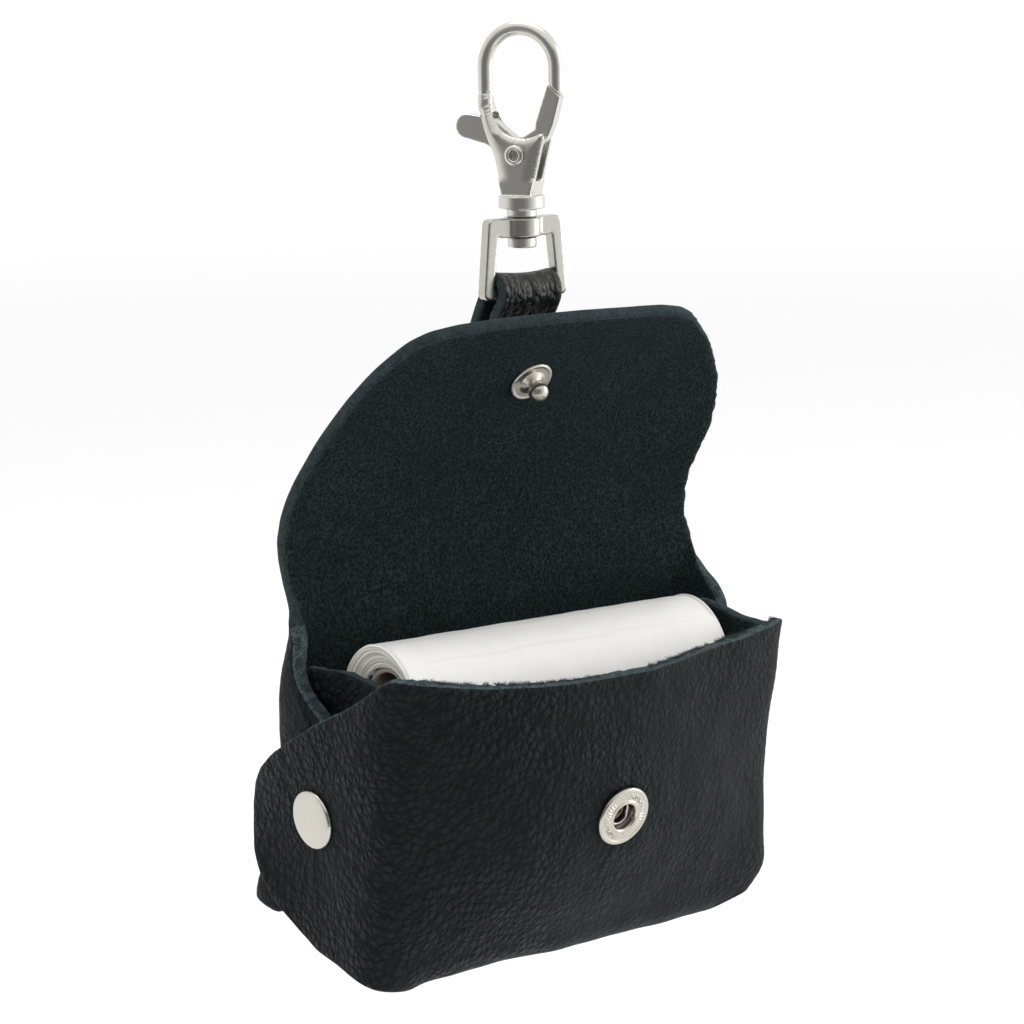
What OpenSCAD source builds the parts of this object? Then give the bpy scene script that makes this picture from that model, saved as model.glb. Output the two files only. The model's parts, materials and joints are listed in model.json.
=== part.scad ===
// Leather pouch for a roll of dog waste bags, hanging from a swivel trigger hook.
// All sizes in millimetres. The origin is the inside top of the hook's bow, +Z up.
// The pouch is drawn upright in its own frame, then hung from the hook.

/* [Leather pouch] */
// Outside width across the front corners
front_w = 75; // [66:1:90]
// Outside width across the back corners
back_w = 82; // [75:1:98]
// Outside depth at the corners, front to back
pouch_depth = 31; // [28:0.5:38]
// Height of the front rim above the underside
rim_h = 50; // [42:0.5:60]
// Height of the flap's hinge line above the underside
hinge_h = 49.5; // [42:0.5:60]
// How far the middle of the front bulges forward
front_bulge = 8.5; // [4:0.5:10]
// How far the front rim dips in its middle
rim_dip = 0.8; // [0:0.1:2.5]
// Thickness of the leather
leather_t = 2; // [1.5:0.1:2.3]
// Outside radius of the bottom folds
fold_r = 6; // [4:0.5:7]
// Outside radius of the front corners
front_corner_r = 5; // [4:0.5:7]
// Outside radius of the back corners
back_corner_r = 6; // [4:0.5:8]
// Air between two layers of leather
layer_gap = 0.1; // [0.05:0.05:0.3]

/* [Side ears] */
// Reach of the front ear's tip, from the front corner
ear_reach = 33; // [28:0.5:38]
// Height of the ear tip's middle above the underside
ear_tip_h = 19; // [16:0.5:23]
// Radius that rounds the ear's tip
ear_tip_r = 6; // [4:0.5:8]
// Height of the straight stretch of the ear's tip
ear_tip_flat = 4; // [2:0.5:6]
// Where the ear's lower edge meets the underside, from the front corner
ear_foot_y = 17; // [13:0.5:21]
// Gap under the ears
ear_lift = 1; // [0.5:0.25:2]
// Front edge of the back ear, from the front corner
back_ear_y = 11; // [8:0.5:14]
// Radius of the back ear's front end
back_ear_r = 7; // [5:0.5:8]
// How far the back ear's top edge drops towards the front
back_ear_drop = 16; // [12:0.5:20]
// Front edge of the inner gusset, from the front corner
gusset_y0 = 8; // [8:0.5:11]
// Back edge of the inner gusset, from the front corner
gusset_y1 = 23.5; // [20:0.5:24]
// Drop of the gusset's top edge from front to back
gusset_drop = 3.5; // [1:0.5:6]
// Outside radius of the gusset's bottom fold
gusset_fold_r = 4; // [3:0.5:5]
// Height above the rivet at which the gusset starts to lean in against the roll
gusset_bend = 6.5; // [5.5:0.5:9]

/* [Flap] */
// Length of the flap from its hinge line to its free edge
flap_len = 51; // [44:0.5:58]
// Width of the flap where it leaves the back
flap_base_w = 75; // [66:1:82]
// Widest part of the flap
flap_w = 82; // [74:1:94]
// Width of the flap's straight free edge
flap_tip_w = 50; // [40:1:62]
// Radius of the flap's bow when it stands open
flap_bow_r = 50; // [44:1:80]
// Forward lean of the open flap's chord, in degrees
flap_lean = 10.6; // [6:0.1:14]
// Gap between the back's top edge and the flap's rolled root
root_gap = 0.15; // [0.1:0.05:0.3]

/* [Hanging strap] */
// Width of the strap
strap_w = 11; // [9:0.5:12]
// Thickness of the strap's leather
strap_t = 2; // [1.5:0.1:2.3]
// Height of the swivel eye's bar above the pouch's underside
bar_h = 99; // [97:0.5:106]
// Least rise of that bar above the flap's hinge, so that the strap clears the flap
bar_rise = 47.5; // [46.5:0.5:49.5]
// How far the swivel eye's bar stands back from the pouch's middle
bar_y = 14.5; // [14:0.1:18]
// Gap between the strap and the flap in front of it
strap_gap = 0.45; // [0.3:0.05:0.8]
// Height of the strap's rivet above the underside
strap_rivet_h = 37.5; // [36:0.5:43]
// Length of strap below its rivet
strap_tail = 6.5; // [5:0.5:9]

/* [Rivets] */
// Diameter of a rivet's cap
rivet_cap_d = 9.4; // [7:0.2:10]
// Height of a rivet's cap at its edge
rivet_cap_edge = 0.45; // [0.3:0.05:0.6]
// Rise of the rivet cap's dome above its edge
rivet_dome = 0.45; // [0.2:0.05:0.6]
// Diameter of a rivet's post
rivet_post_d = 2.6; // [2:0.1:3.2]
// Distance of the side rivet from the front corner
side_rivet_y = 16.5; // [15:0.5:19]
// Height of the side rivet above the underside
side_rivet_h = 21.5; // [18:0.5:24]
// Air round a post in its hole
hole_gap = 0.15; // [0.1:0.05:0.3]

/* [Press snap] */
// Height of the socket above the underside
socket_h = 26; // [22:0.5:30]
// Diameter of the socket's flange
socket_d = 9.8; // [8:0.2:11]
// Thickness of the socket's flange
socket_t = 0.8; // [0.6:0.1:1]
// Diameter of the socket's opening
socket_hole_d = 4.2; // [3.8:0.1:4.6]
// Wall of the socket's and the eyelet's tubes
tube_t = 0.45; // [0.35:0.05:0.6]
// Diameter of the eyelet's flange inside the pouch
eyelet_d = 8; // [7:0.5:10]
// Distance of the stud from the flap's hinge line
stud_from_hinge = 37; // [32:0.5:40]
// Diameter of the stud's flange
stud_d = 7.4; // [6:0.2:9]
// Diameter of the stud's ball
stud_ball_d = 3.3; // [3:0.1:3.6]
// Diameter of the stud's neck
stud_neck_d = 2.3; // [1.8:0.1:2.6]
// Height of the stud from the leather to the ball's top
stud_h = 4; // [3.4:0.1:5]

/* [Bag roll] */
// Diameter of the roll
roll_d = 21.5; // [18:0.5:26]
// Length of the roll
roll_len = 59.5; // [50:0.5:60]
// Diameter of the hole in the card core
core_bore_d = 12; // [9:0.2:13]
// Thickness of the card core
core_t = 0.9; // [0.6:0.1:1.4]
// Running gap between the core and the film wound on it
core_gap = 0.1; // [0.05:0.05:0.1]
// How far the roll's axis lies in front of the pouch's middle
roll_forward = 1.8; // [0:0.2:3]
// Air left between the roll's ends and the gussets that hold it up
roll_hold_gap = 0.2; // [0.1:0.05:0.4]
// Drop of the top of the roll below the hinge line
roll_top_gap = 0; // [0:0.5:6]

/* [Trigger hook] */
// Turn of the hook's face away from the pouch's front, in degrees
hook_turn = -58; // [-90:1:90]
// Thickness of the bow
bow_d = 2.3; // [2:0.1:2.7]
// Outside width of the bow
bow_w = 14.1; // [13:0.1:16]
// Length of the opening inside the bow
bow_len = 15.6; // [14:0.2:18]
// Thickness of the hook's body, front to back
body_t = 5; // [4.4:0.1:6]
// Height of the hook's body below the opening
body_len = 8.8; // [8:0.2:11]
// Width of the slot that holds the gate
slot_w = 2.3; // [1.9:0.1:2.6]
// Gap on each side of the gate in its slot
gate_gap = 0.15; // [0.1:0.05:0.25]
// Outside diameter of the gate's tubular pin
pin_d = 2.2; // [1.8:0.1:2.4]
// Diameter of the hole through the gate's pin
pin_bore_d = 1.5; // [1:0.1:1.6]
// Distance of the gate's pin below the opening
pin_drop = 2.5; // [2.4:0.1:3.2]
// Diameter of the collar under the body
collar_d = 7.2; // [6:0.2:8]
// Height of the collar
collar_h = 2; // [1.6:0.1:3]
// Diameter of the neck under the collar
neck_d = 4.7; // [4.2:0.1:5.4]
// Height of the neck
neck_h = 1.3; // [0.8:0.1:1.8]
// Diameter of the swivel stem
stem_d = 3; // [2.6:0.1:3.4]
// Diameter of the stem's riveted head
stem_head_d = 4.5; // [4:0.1:5]
// Height of the stem's riveted head
stem_head_h = 1.6; // [1:0.1:2]

/* [Swivel eye] */
// Outside diameter of the eye's barrel
barrel_d = 6; // [5.2:0.1:6.8]
// Height of the eye's barrel
barrel_h = 3; // [2.6:0.1:3.6]
// Diameter of the eye's lower bar
wire_d = 2.1; // [1.8:0.1:2.4]
// Width of the eye's legs, seen from the front
leg_w = 1.9; // [1.6:0.1:2.2]
// How much wider the eye is at its lower bar than at its shoulders, on each side
eye_flare = 0.9; // [0:0.1:1.4]
// Air on each side of the strap inside the eye
eye_gap = 0.35; // [0.25:0.05:0.6]
// Distance from the barrel's underside to the middle of the lower bar
eye_drop = 8.45; // [8:0.05:10]
// Radius of the eye's shoulders
eye_corner_r = 0.8; // [0.4:0.1:1.2]
// Air round the stem and over and under the barrel
swivel_gap = 0.08; // [0.05:0.01:0.1]
// Air between the strap's loop and the bar
loop_gap = 0.3; // [0.2:0.05:0.5]

/* [Gate spring] */
// Wire diameter of the gate's spring
spring_wire_d = 0.3; // [0.25:0.05:0.4]
// Outside diameter of the gate's spring
spring_d = 1.5; // [1.3:0.1:1.6]
// Number of turns in the gate's spring
spring_turns = 4; // [3:1:5]

/* [Hang] */
// Forward tilt of the loaded pouch as it hangs, in degrees
hang_tilt = 11.4; // [0:0.1:18]

/* [Hidden] */
$fn = 64;

grain_black = [0.06, 0.065, 0.07];
nickel = [0.78, 0.77, 0.74];
film_white = [0.93, 0.93, 0.91];
card_brown = [0.62, 0.55, 0.45];
e = 0.01;

// Plan of the pouch. The sides lean outwards by side_a towards the back.
side_a = atan((back_w - front_w) / 2 / pouch_depth);
mid_face = -(leather_t + layer_gap);
inner_face = -2 * (leather_t + layer_gap);
stack_t = 3 * leather_t + 2 * layer_gap;
front_y = -pouch_depth / 2 - front_bulge;
front_corner_x = front_w / 2 + front_corner_r * (tan(side_a) - 1 / cos(side_a));
front_corner_v = front_corner_r * (1 / cos(side_a) - tan(side_a));
front_reach = front_corner_r + front_bulge;
front_r = (pow(front_corner_x, 2) + pow(front_reach, 2) - pow(front_corner_r, 2)) / (2 * front_bulge);
front_centre_y = front_y + front_r;
front_half_a = asin(front_corner_x / (front_r - front_corner_r));
back_corner_u = mid_face - back_corner_r;
back_corner_v = (pouch_depth - back_corner_r + back_corner_u * sin(side_a)) / cos(side_a);
back_corner_x = front_w / 2 + back_corner_u * cos(side_a) + back_corner_v * sin(side_a);
back_top = hinge_h - leather_t / 2 - root_gap;

// The open flap is an arc about an axis in front of it.
hinge_y = pouch_depth / 2 - leather_t / 2;
// The bar keeps its rise above the hinge where the pouch is taller.
bar_z = max(bar_h, hinge_h + bar_rise);
flap_turn = flap_len / flap_bow_r * 180 / PI;
flap_a0 = flap_lean - flap_turn / 2;
bow_y = hinge_y - flap_bow_r * cos(flap_a0);
bow_z = hinge_h - flap_bow_r * sin(flap_a0);
stud_a = flap_a0 + stud_from_hinge / flap_bow_r * 180 / PI;

// Heights on the hook, measured down from the inside of the bow.
body_top = -bow_len;
pin_z = body_top - pin_drop;
collar_top = body_top - body_len;
neck_top = collar_top - collar_h;
barrel_top = neck_top - neck_h - swivel_gap;
barrel_bottom = barrel_top - barrel_h;
eye_bar_z = barrel_bottom - eye_drop;
eye_half_w = strap_w / 2 + eye_gap + leg_w;
loop_r = wire_d / 2 + loop_gap;
bow_r = bow_w / 2 - bow_d / 2;
bow_centre_z = bow_d / 2 - bow_r;
nose_z = bow_centre_z - 3.25;
nose_slope = 0.9;

roll_r = roll_d / 2;
roll_y = -roll_forward;
roll_z = hinge_h - roll_top_gap - roll_r;
film_bore_r = core_bore_d / 2 + core_t + core_gap;

// The gussets lean in until their top edges stand against the ends of the roll.
gusset_knee_h = side_rivet_h + gusset_bend;
gusset_taper = min(gusset_y0 * tan(side_a), gusset_y1 * tan(side_a));
gusset_inside = front_w / 2 + gusset_taper + (inner_face - leather_t) / cos(side_a);
gusset_room = gusset_inside - roll_len / 2 - roll_hold_gap;
gusset_lean = atan(gusset_room / (rim_h - gusset_knee_h));

// ---- points and curves ----

// Points along a quadratic curve from p to q, pulled towards c
function curve(p, c, q, n = 8) =
    [for (i = [0:n]) let (t = i / n) pow(1 - t, 2) * p + 2 * t * (1 - t) * c + t * t * q];

// Points along an arc from angle a0 to a1
function arc(c, r, a0, a1, n = 8) =
    [for (i = [0:n]) let (a = a0 + (a1 - a0) * i / n) c + r * [cos(a), sin(a)]];

// World x of the line that lies u outside the side's face, at world y
function side_x(u, y) = front_w / 2 + (y + pouch_depth / 2) * tan(side_a) + u / cos(side_a);

// ---- frames ----

// From the pouch's upright frame to its place on the hook
module hung() {
    translate([0, 0, eye_bar_z])
        rotate([hang_tilt, 0, 0])
            translate([0, -bar_y, -bar_z])
                children();
}

// The right or left side's frame: X outwards, Y along the side from the front corner
module at_side(right) {
    mirror([right ? 0 : 1, 0, 0])
        translate([front_w / 2, -pouch_depth / 2, 0])
            rotate([0, 0, -side_a])
                children();
}

// A frame on the flap: Y points straight out through the flap's outside
module at_flap(a) {
    translate([0, bow_y, bow_z])
        rotate([a, 0, 0])
            children();
}

// A frame whose Z axis points along +X, -Y or +Y
module along_x() { rotate([0, 90, 0]) children(); }
module along_front() { rotate([90, 0, 0]) children(); }
module along_back() { rotate([-90, 0, 0]) children(); }

// Extrude a shape drawn in Y and Z by w along X, centred
module slab_x(w) {
    translate([-w / 2, 0, 0])
        rotate([90, 0, 90])
            linear_extrude(w)
                children();
}

// ---- shared shapes ----

// Part of a tube's wall, from angle a0 to a1
module shell(r_out, t, a0, a1, z0, z1) {
    rotate([0, 0, a0])
        rotate_extrude(angle = a1 - a0)
            translate([r_out - t, z0])
                square([t, z1 - z0]);
}

module ring(r_in, r_out, h) {
    difference() {
        cylinder(r = r_out, h = h);
        translate([0, 0, -e]) cylinder(r = r_in, h = h + 2 * e);
    }
}

// A disc with a shallow dome on top
module domed_disc(d, edge, rise) {
    ball_r = (pow(d / 2, 2) + rise * rise) / (2 * rise);
    rotate_extrude() intersection() {
        square([d / 2, edge + rise]);
        translate([0, edge + rise - ball_r]) circle(ball_r, $fn = 720);
    }
}

// The outer half of a two-cap rivet, standing on the leather
module rivet_cap() {
    difference() {
        domed_disc(rivet_cap_d, rivet_cap_edge, rivet_dome);
        translate([0, 0, -e]) cylinder(d = rivet_post_d + hole_gap, h = rivet_cap_edge);
    }
}

// The inner half: a post through the layers with its own cap
module rivet_post(layers_t) {
    translate([0, 0, -layers_t]) mirror([0, 0, 1])
        domed_disc(rivet_cap_d, rivet_cap_edge, rivet_dome);
    translate([0, 0, -layers_t - e])
        cylinder(d = rivet_post_d, h = layers_t + rivet_cap_edge / 2);
}

module rivet_hole(layers_t) {
    translate([0, 0, -layers_t - 1]) cylinder(r = rivet_post_d / 2 + hole_gap, h = layers_t + 2);
}

module at_side_rivet() {
    translate([0, side_rivet_y, side_rivet_h]) along_x() children();
}

module at_strap_rivet() {
    translate([0, pouch_depth / 2, strap_rivet_h]) along_back() children();
}

// ---- leather pouch ----

module back() {
    difference() {
        union() {
            translate([-back_corner_x, pouch_depth / 2 - leather_t, fold_r])
                cube([2 * back_corner_x, leather_t, back_top - fold_r]);
            translate([-back_corner_x, pouch_depth / 2 - fold_r, fold_r])
                rotate([90, 0, 90])
                    shell(fold_r, leather_t, -90, 0, 0, 2 * back_corner_x);
        }
        at_strap_rivet() rivet_hole(leather_t);
    }
}

module bottom() {
    y1 = pouch_depth / 2 - fold_r;
    x0 = side_x(inner_face - gusset_fold_r, -pouch_depth / 2);
    x1 = side_x(inner_face - gusset_fold_r, y1);
    intersection() {
        linear_extrude(leather_t)
            polygon([
                [-x0, front_y], [x0, front_y], [x0, -pouch_depth / 2],
                [x1, y1], [-x1, y1], [-x0, -pouch_depth / 2]
            ]);
        translate([0, front_centre_y, -e])
            cylinder(r = front_r - fold_r - layer_gap, h = leather_t + 2 * e, $fn = 360);
    }
}

module front() {
    dip_r = (pow(front_corner_x, 2) + rim_dip * rim_dip) / (2 * max(rim_dip, e));
    difference() {
        translate([0, front_centre_y, 0]) {
            shell(front_r, leather_t, -90 - front_half_a, -90 + front_half_a, fold_r, rim_h);
            rotate([0, 0, -90 - front_half_a])
                rotate_extrude(angle = 2 * front_half_a)
                    translate([front_r - fold_r, fold_r])
                        intersection() {
                            difference() {
                                circle(fold_r);
                                circle(fold_r - leather_t);
                            }
                            translate([0, -fold_r]) square(fold_r);
                        }
        }
        translate([0, 0, rim_h - rim_dip + dip_r]) along_front()
            cylinder(r = dip_r, h = 2 * pouch_depth, $fn = 256);
        translate([0, front_y, socket_h]) along_front()
            translate([0, 0, -2 * leather_t])
                cylinder(r = socket_tube_r + tube_t + 2 * hole_gap, h = 4 * leather_t);
    }
}

socket_tube_r = socket_hole_d / 2 + tube_t;

// Outline of the front ear, from the side: length along the side, height
function front_ear_outline() =
    let (
        tip = [ear_reach - ear_tip_r, ear_tip_h],
        up = [0, ear_tip_flat / 2],
        shoulder = arc(tip + up, ear_tip_r, 52, 0),
        heel = arc(tip - up, ear_tip_r, 0, -48)
    )
    concat(
        [[-pouch_depth, ear_lift], [-pouch_depth, rim_h]],
        curve([2, rim_h], [13, rim_h - 4.5], shoulder[0], 12),
        shoulder,
        heel,
        [[ear_foot_y, ear_lift]]
    );

module front_ear() {
    difference() {
        intersection() {
            union() {
                translate([-front_corner_r, front_corner_v, 0])
                    shell(front_corner_r, leather_t, -90 + front_half_a + side_a, 0, 0, rim_h);
                translate([-leather_t, front_corner_v - e, 0]) cube([leather_t, ear_reach, rim_h]);
            }
            translate([-front_w, 0, 0]) rotate([90, 0, 90]) linear_extrude(2 * front_w)
                polygon(front_ear_outline());
        }
        at_side_rivet() rivet_hole(leather_t);
    }
}

// Outline of the back ear, from the side
function back_ear_outline() =
    let (
        top = [back_ear_y + back_ear_r, back_top - back_ear_drop - back_ear_r],
        crest = [back_corner_v + 2, back_top - 0.4],
        low = [back_ear_y + back_ear_r, side_rivet_h - 3],
        far = pouch_depth * 2
    )
    concat(
        [[far, back_top], [back_corner_v + 3, back_top]],
        curve(crest, [back_corner_v - 2, back_top - 4], top + back_ear_r * [0.5, 0.87]),
        arc(top, back_ear_r, 75, 180),
        arc(low, back_ear_r, 180, 235),
        [[back_corner_v - 2, 2 * ear_lift], [far, 2 * ear_lift]]
    );

module back_ear() {
    difference() {
        intersection() {
            union() {
                translate([back_corner_u, back_corner_v, 0])
                    shell(back_corner_r, leather_t, 0, 90 + side_a, 0, back_top);
                translate([mid_face - leather_t, 0, 0]) cube([leather_t, back_corner_v + e, back_top]);
            }
            translate([-back_w, 0, 0]) rotate([90, 0, 90]) linear_extrude(2 * back_w)
                polygon(back_ear_outline());
        }
        at_side_rivet() rivet_hole(stack_t);
    }
}

// The gusset's section across the side: a wall that leans in above the rivet
module gusset_section() {
    top = rim_h + 1;
    run = (top - gusset_knee_h) * tan(gusset_lean);
    inner_knee = gusset_knee_h - leather_t * tan(gusset_lean / 2);
    polygon([
        [inner_face, gusset_fold_r], [inner_face, gusset_knee_h], [inner_face - run, top],
        [inner_face - run - leather_t / cos(gusset_lean), top],
        [inner_face - leather_t, inner_knee], [inner_face - leather_t, gusset_fold_r]
    ]);
}

module gusset() {
    w = gusset_y1 - gusset_y0;
    difference() {
        union() {
            intersection() {
                translate([0, gusset_y1, 0]) along_front() linear_extrude(w) gusset_section();
                translate([-front_w / 2, 0, 0]) rotate([90, 0, 90]) linear_extrude(front_w)
                    polygon([
                        [gusset_y0, 0], [gusset_y1, 0],
                        [gusset_y1, rim_h - gusset_drop], [gusset_y0, rim_h - leather_t / 2]
                    ]);
            }
            translate([inner_face - gusset_fold_r, gusset_y0, gusset_fold_r]) rotate([-90, 0, 0])
                shell(gusset_fold_r, leather_t, 0, 90, 0, w);
        }
        at_side_rivet() rivet_hole(stack_t);
    }
}

// Half of the flap's outline: half width, height above the hinge line
function flap_half_outline() =
    let (
        h = flap_rise,
        base = flap_base_w / 2,
        wide = flap_w / 2,
        tip = flap_tip_w / 2
    )
    concat(
        [[base, -leather_t], [base, 0]],
        curve([base, 1], [wide, 0.18 * h], [wide, 0.45 * h]),
        curve([wide, 0.45 * h], [wide - 0.5, 0.72 * h], [tip + 8, 0.88 * h]),
        curve([tip + 8, 0.88 * h], [tip + 4, 0.97 * h], [tip - 1, h + 2 * leather_t], 4)
    );
flap_rise = flap_bow_r * (sin(flap_a0 + flap_turn) - sin(flap_a0));

module flap_leaf() {
    half = flap_half_outline();
    n = len(half);
    outline = concat(half, [for (i = [1:n]) [-half[n - i][0], half[n - i][1]]]);
    difference() {
        union() {
            intersection() {
                translate([0, bow_y, bow_z]) translate([-flap_w, 0, 0]) rotate([90, 0, 90])
                    shell(flap_bow_r + leather_t / 2, leather_t, flap_a0, flap_a0 + flap_turn, 0, 2 * flap_w);
                translate([0, pouch_depth, hinge_h]) along_front() linear_extrude(2 * pouch_depth)
                    polygon(outline);
            }
            translate([-flap_base_w / 2, hinge_y, hinge_h]) along_x() cylinder(d = leather_t, h = flap_base_w);
        }
        at_flap(stud_a) translate([0, flap_bow_r - leather_t, 0]) along_back()
            cylinder(r = stud_neck_d / 2 + hole_gap, h = 2 * leather_t);
    }
}

// ---- hanging strap ----

// The strap rises in two layers that part towards the eye's bar.
loop_a = atan2(bar_z - bow_z, bar_y - bow_y);
bar_reach = norm([bar_z - bow_z, bar_y - bow_y]);
strap_a0 = flap_a0 - 1;
front_leg0 = flap_bow_r + leather_t / 2 + strap_gap + strap_t / 2;
front_leg1 = bar_reach - loop_r - strap_t / 2;
back_leg0 = front_leg0 + strap_t;
back_leg1 = bar_reach + loop_r + strap_t / 2;

// A leg of the strap, from radius r0 at its foot to r1 at the bar
module strap_leg(r0, r1, n = 14) {
    inner = [for (i = [0:n]) let (t = i / n, a = strap_a0 + (loop_a - strap_a0) * t)
        [bow_y, bow_z] + (r0 + (r1 - r0) * t * t - strap_t / 2) * [cos(a), sin(a)]];
    outer = [for (i = [n:-1:0]) let (t = i / n, a = strap_a0 + (loop_a - strap_a0) * t)
        [bow_y, bow_z] + (r0 + (r1 - r0) * t * t + strap_t / 2) * [cos(a), sin(a)]];
    polygon(concat(inner, outer));
}

module strap() {
    foot = [bow_y, bow_z] + (front_leg0 - strap_t / 2) * [cos(strap_a0), sin(strap_a0)];
    shoulder = [bow_y, bow_z] + (back_leg0 + strap_t / 2) * [cos(strap_a0), sin(strap_a0)];
    back_y = pouch_depth / 2 + layer_gap;
    low = strap_rivet_h - strap_tail;
    knee = 2 * strap_t;
    difference() {
        slab_x(strap_w) {
            strap_leg(front_leg0, front_leg1);
            strap_leg(back_leg0, back_leg1);
            polygon([
                [back_y, low], [back_y + 2 * strap_t, low],
                [back_y + 2 * strap_t, foot[1] - knee], shoulder, foot, [back_y, foot[1] - knee]
            ]);
        }
        at_strap_rivet() translate([0, 0, layer_gap + 2 * strap_t]) rivet_hole(2 * strap_t);
    }
    translate([-strap_w / 2, bar_y, bar_z]) rotate([90, 0, 90])
        shell(loop_r + strap_t, strap_t, loop_a, loop_a + 180 , 0, strap_w);
}

// ---- press snap ----

module at_socket() {
    translate([0, front_y, socket_h]) along_front() children();
}

module socket() {
    ring(socket_hole_d / 2, socket_d / 2 - 0.3, socket_t);
    ring(socket_d / 2 - 0.9, socket_d / 2, socket_t * 0.75);
    translate([0, 0, -leather_t]) ring(socket_hole_d / 2, socket_tube_r, leather_t + e);
}

module spring_ring() {
    r = socket_hole_d / 2 - 0.26;
    translate([0, 0, -0.5]) rotate_extrude() translate([r, 0]) circle(0.25, $fn = 24);
}

module eyelet() {
    back = -leather_t - layer_gap - eyelet_d * eyelet_d / 8 / (front_r - leather_t);
    translate([0, 0, back - tube_t]) ring(socket_hole_d / 2 - tube_t, eyelet_d / 2, tube_t);
    translate([0, 0, back - e]) ring(socket_tube_r + 0.02, socket_tube_r + 0.02 + tube_t * 0.6, leather_t);
}

// The stud's Z axis points away from the flap's inside
module at_stud() {
    at_flap(stud_a) translate([0, flap_bow_r - leather_t / 2, 0]) along_front() children();
}

module stud() {
    seat = layer_gap + stud_d * stud_d / 8 / flap_bow_r;
    translate([0, 0, seat]) domed_disc(stud_d, 0.3, 0.5);
    translate([0, 0, -leather_t]) cylinder(d = stud_neck_d, h = stud_h);
    translate([0, 0, stud_h - stud_ball_d / 2]) sphere(d = stud_ball_d, $fn = 48);
}

module cap_of_stud() {
    seat = leather_t + layer_gap / 2;
    translate([0, 0, -seat]) mirror([0, 0, 1]) difference() {
        domed_disc(rivet_cap_d, 0.3, 0.5);
        translate([0, 0, -e]) cylinder(r = stud_neck_d / 2 + 0.05, h = 0.3);
    }
}

// ---- trigger hook ----

// Outline of the hook's body, from the front: half the width, height
module body_outline() {
    leg_out = bow_r + bow_d / 2;
    leg_in = bow_r - bow_d / 2;
    foot_w = collar_d / 2 - 1.2;
    polygon(concat(
        curve([-leg_out, body_top + 6.6], [-leg_out + 1.2, body_top + 1.6], [-leg_out + 3.3, body_top - 2.6]),
        [[-foot_w, collar_top], [foot_w, collar_top]],
        [[bow_r - 1.3, body_top + 0.2], [bow_r - 1.5, body_top + 0.9]],
        curve([bow_r - 2.2, body_top + 0.7], [0.4, body_top - 0.9], [-2.4, body_top + 1]),
        curve([-2.6, body_top + 1.2], [-leg_in + 0.2, body_top + 3], [-leg_in, body_top + 6.6])
    ));
}

// The body's thickness, from the side: it tapers up into the bow
module body_side() {
    slab_x(2 * bow_w) polygon([
        [-body_t / 2, collar_top], [body_t / 2, collar_top], [body_t / 2, body_top + 0.6],
        [bow_d / 2, body_top + 7], [-bow_d / 2, body_top + 7], [-body_t / 2, body_top + 0.6]
    ]);
}

module bow() {
    leg_top = bow_centre_z;
    translate([0, 0, leg_top]) rotate([90, 0, 0]) {
        rotate_extrude(angle = 180) translate([bow_r, 0]) circle(d = bow_d, $fn = 48);
    }
    translate([-bow_r, 0, body_top + 4]) cylinder(d = bow_d, h = leg_top - body_top - 4, $fn = 48);
    difference() {
        translate([bow_r, 0, nose_z - bow_d]) cylinder(d = bow_d, h = leg_top - nose_z + bow_d, $fn = 48);
        rotate([90, 0, 0]) linear_extrude(2 * bow_d, center = true)
            polygon([
                [bow_r - bow_d, nose_z + nose_slope * bow_d], [bow_r + bow_d, nose_z - nose_slope * bow_d],
                [bow_r + bow_d, nose_z - 2 * bow_d], [bow_r - bow_d, nose_z - 2 * bow_d]
            ]);
    }
}

module hook_casting() {
    difference() {
        union() {
            intersection() {
                rotate([90, 0, 0]) linear_extrude(body_t, center = true) body_outline();
                body_side();
            }
            bow();
            translate([0, 0, neck_top]) cylinder(d = collar_d, h = collar_h);
            translate([0, 0, neck_top - neck_h]) cylinder(d = neck_d, h = neck_h + e);
            translate([0, 0, stem_bottom - e]) cylinder(d = stem_d, h = neck_top - neck_h - stem_bottom + 3 * e);
            translate([0, 0, stem_bottom - stem_head_h]) cylinder(d = stem_head_d, h = stem_head_h);
        }
        // Slot for the gate and its thumb lever
        translate([-bow_w, -slot_w / 2, slot_floor]) cube([2 * bow_w, slot_w, slot_ceiling - slot_floor]);
        translate([0, 0, pin_z]) along_front() translate([0, 0, -body_t]) cylinder(d = pin_d, h = 2 * body_t);
        // Pocket for the spring
        translate([spring_x, 0, slot_floor - spring_pocket])
            cylinder(d = spring_d + 0.2, h = spring_pocket + 1);
    }
}
stem_bottom = barrel_bottom - swivel_gap;
slot_floor = pin_z - 4;
slot_ceiling = body_top + 3.9;
spring_x = -1.2;
spring_pocket = 1;
hub_r = pin_d / 2 + 0.9;

// The gate, from the front: an arm up to the bow's nose, a hub and a thumb lever
module gate_outline() {
    arm_half = bow_d / 2 - 0.1;
    tip = [bow_r, nose_z - 0.25];
    slant = [arm_half, -nose_slope * arm_half];
    thumb = [-bow_r - 2.8, body_top + 1.7];
    thumb_r = 1.9;
    difference() {
        union() {
            translate([0, pin_z]) circle(hub_r);
            polygon([
                tip + slant, tip - slant, [bow_r - 3, body_top + 2.6], [bow_r - 3.2, body_top + 1.4],
                [-0.4, pin_z + hub_r], [1.6, pin_z - 1.2],
                [bow_r - 0.9, body_top + 0.4], [bow_r - 0.1, body_top + 2.2]
            ]);
            translate(thumb) circle(thumb_r);
            polygon([
                thumb + [0.2, thumb_r - 0.01], thumb - [0.5, thumb_r - 0.1],
                [-bow_r + 0.5, body_top - 1.1], [-1.4, pin_z - 1.3],
                [0.4, pin_z + hub_r - 0.2], [-bow_r + 1.6, body_top + 3]
            ]);
        }
        translate([0, pin_z]) circle(d = pin_d + 2 * swivel_gap);
    }
}

module gate() {
    rotate([90, 0, 0]) linear_extrude(slot_w - 2 * gate_gap, center = true) gate_outline();
}

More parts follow.
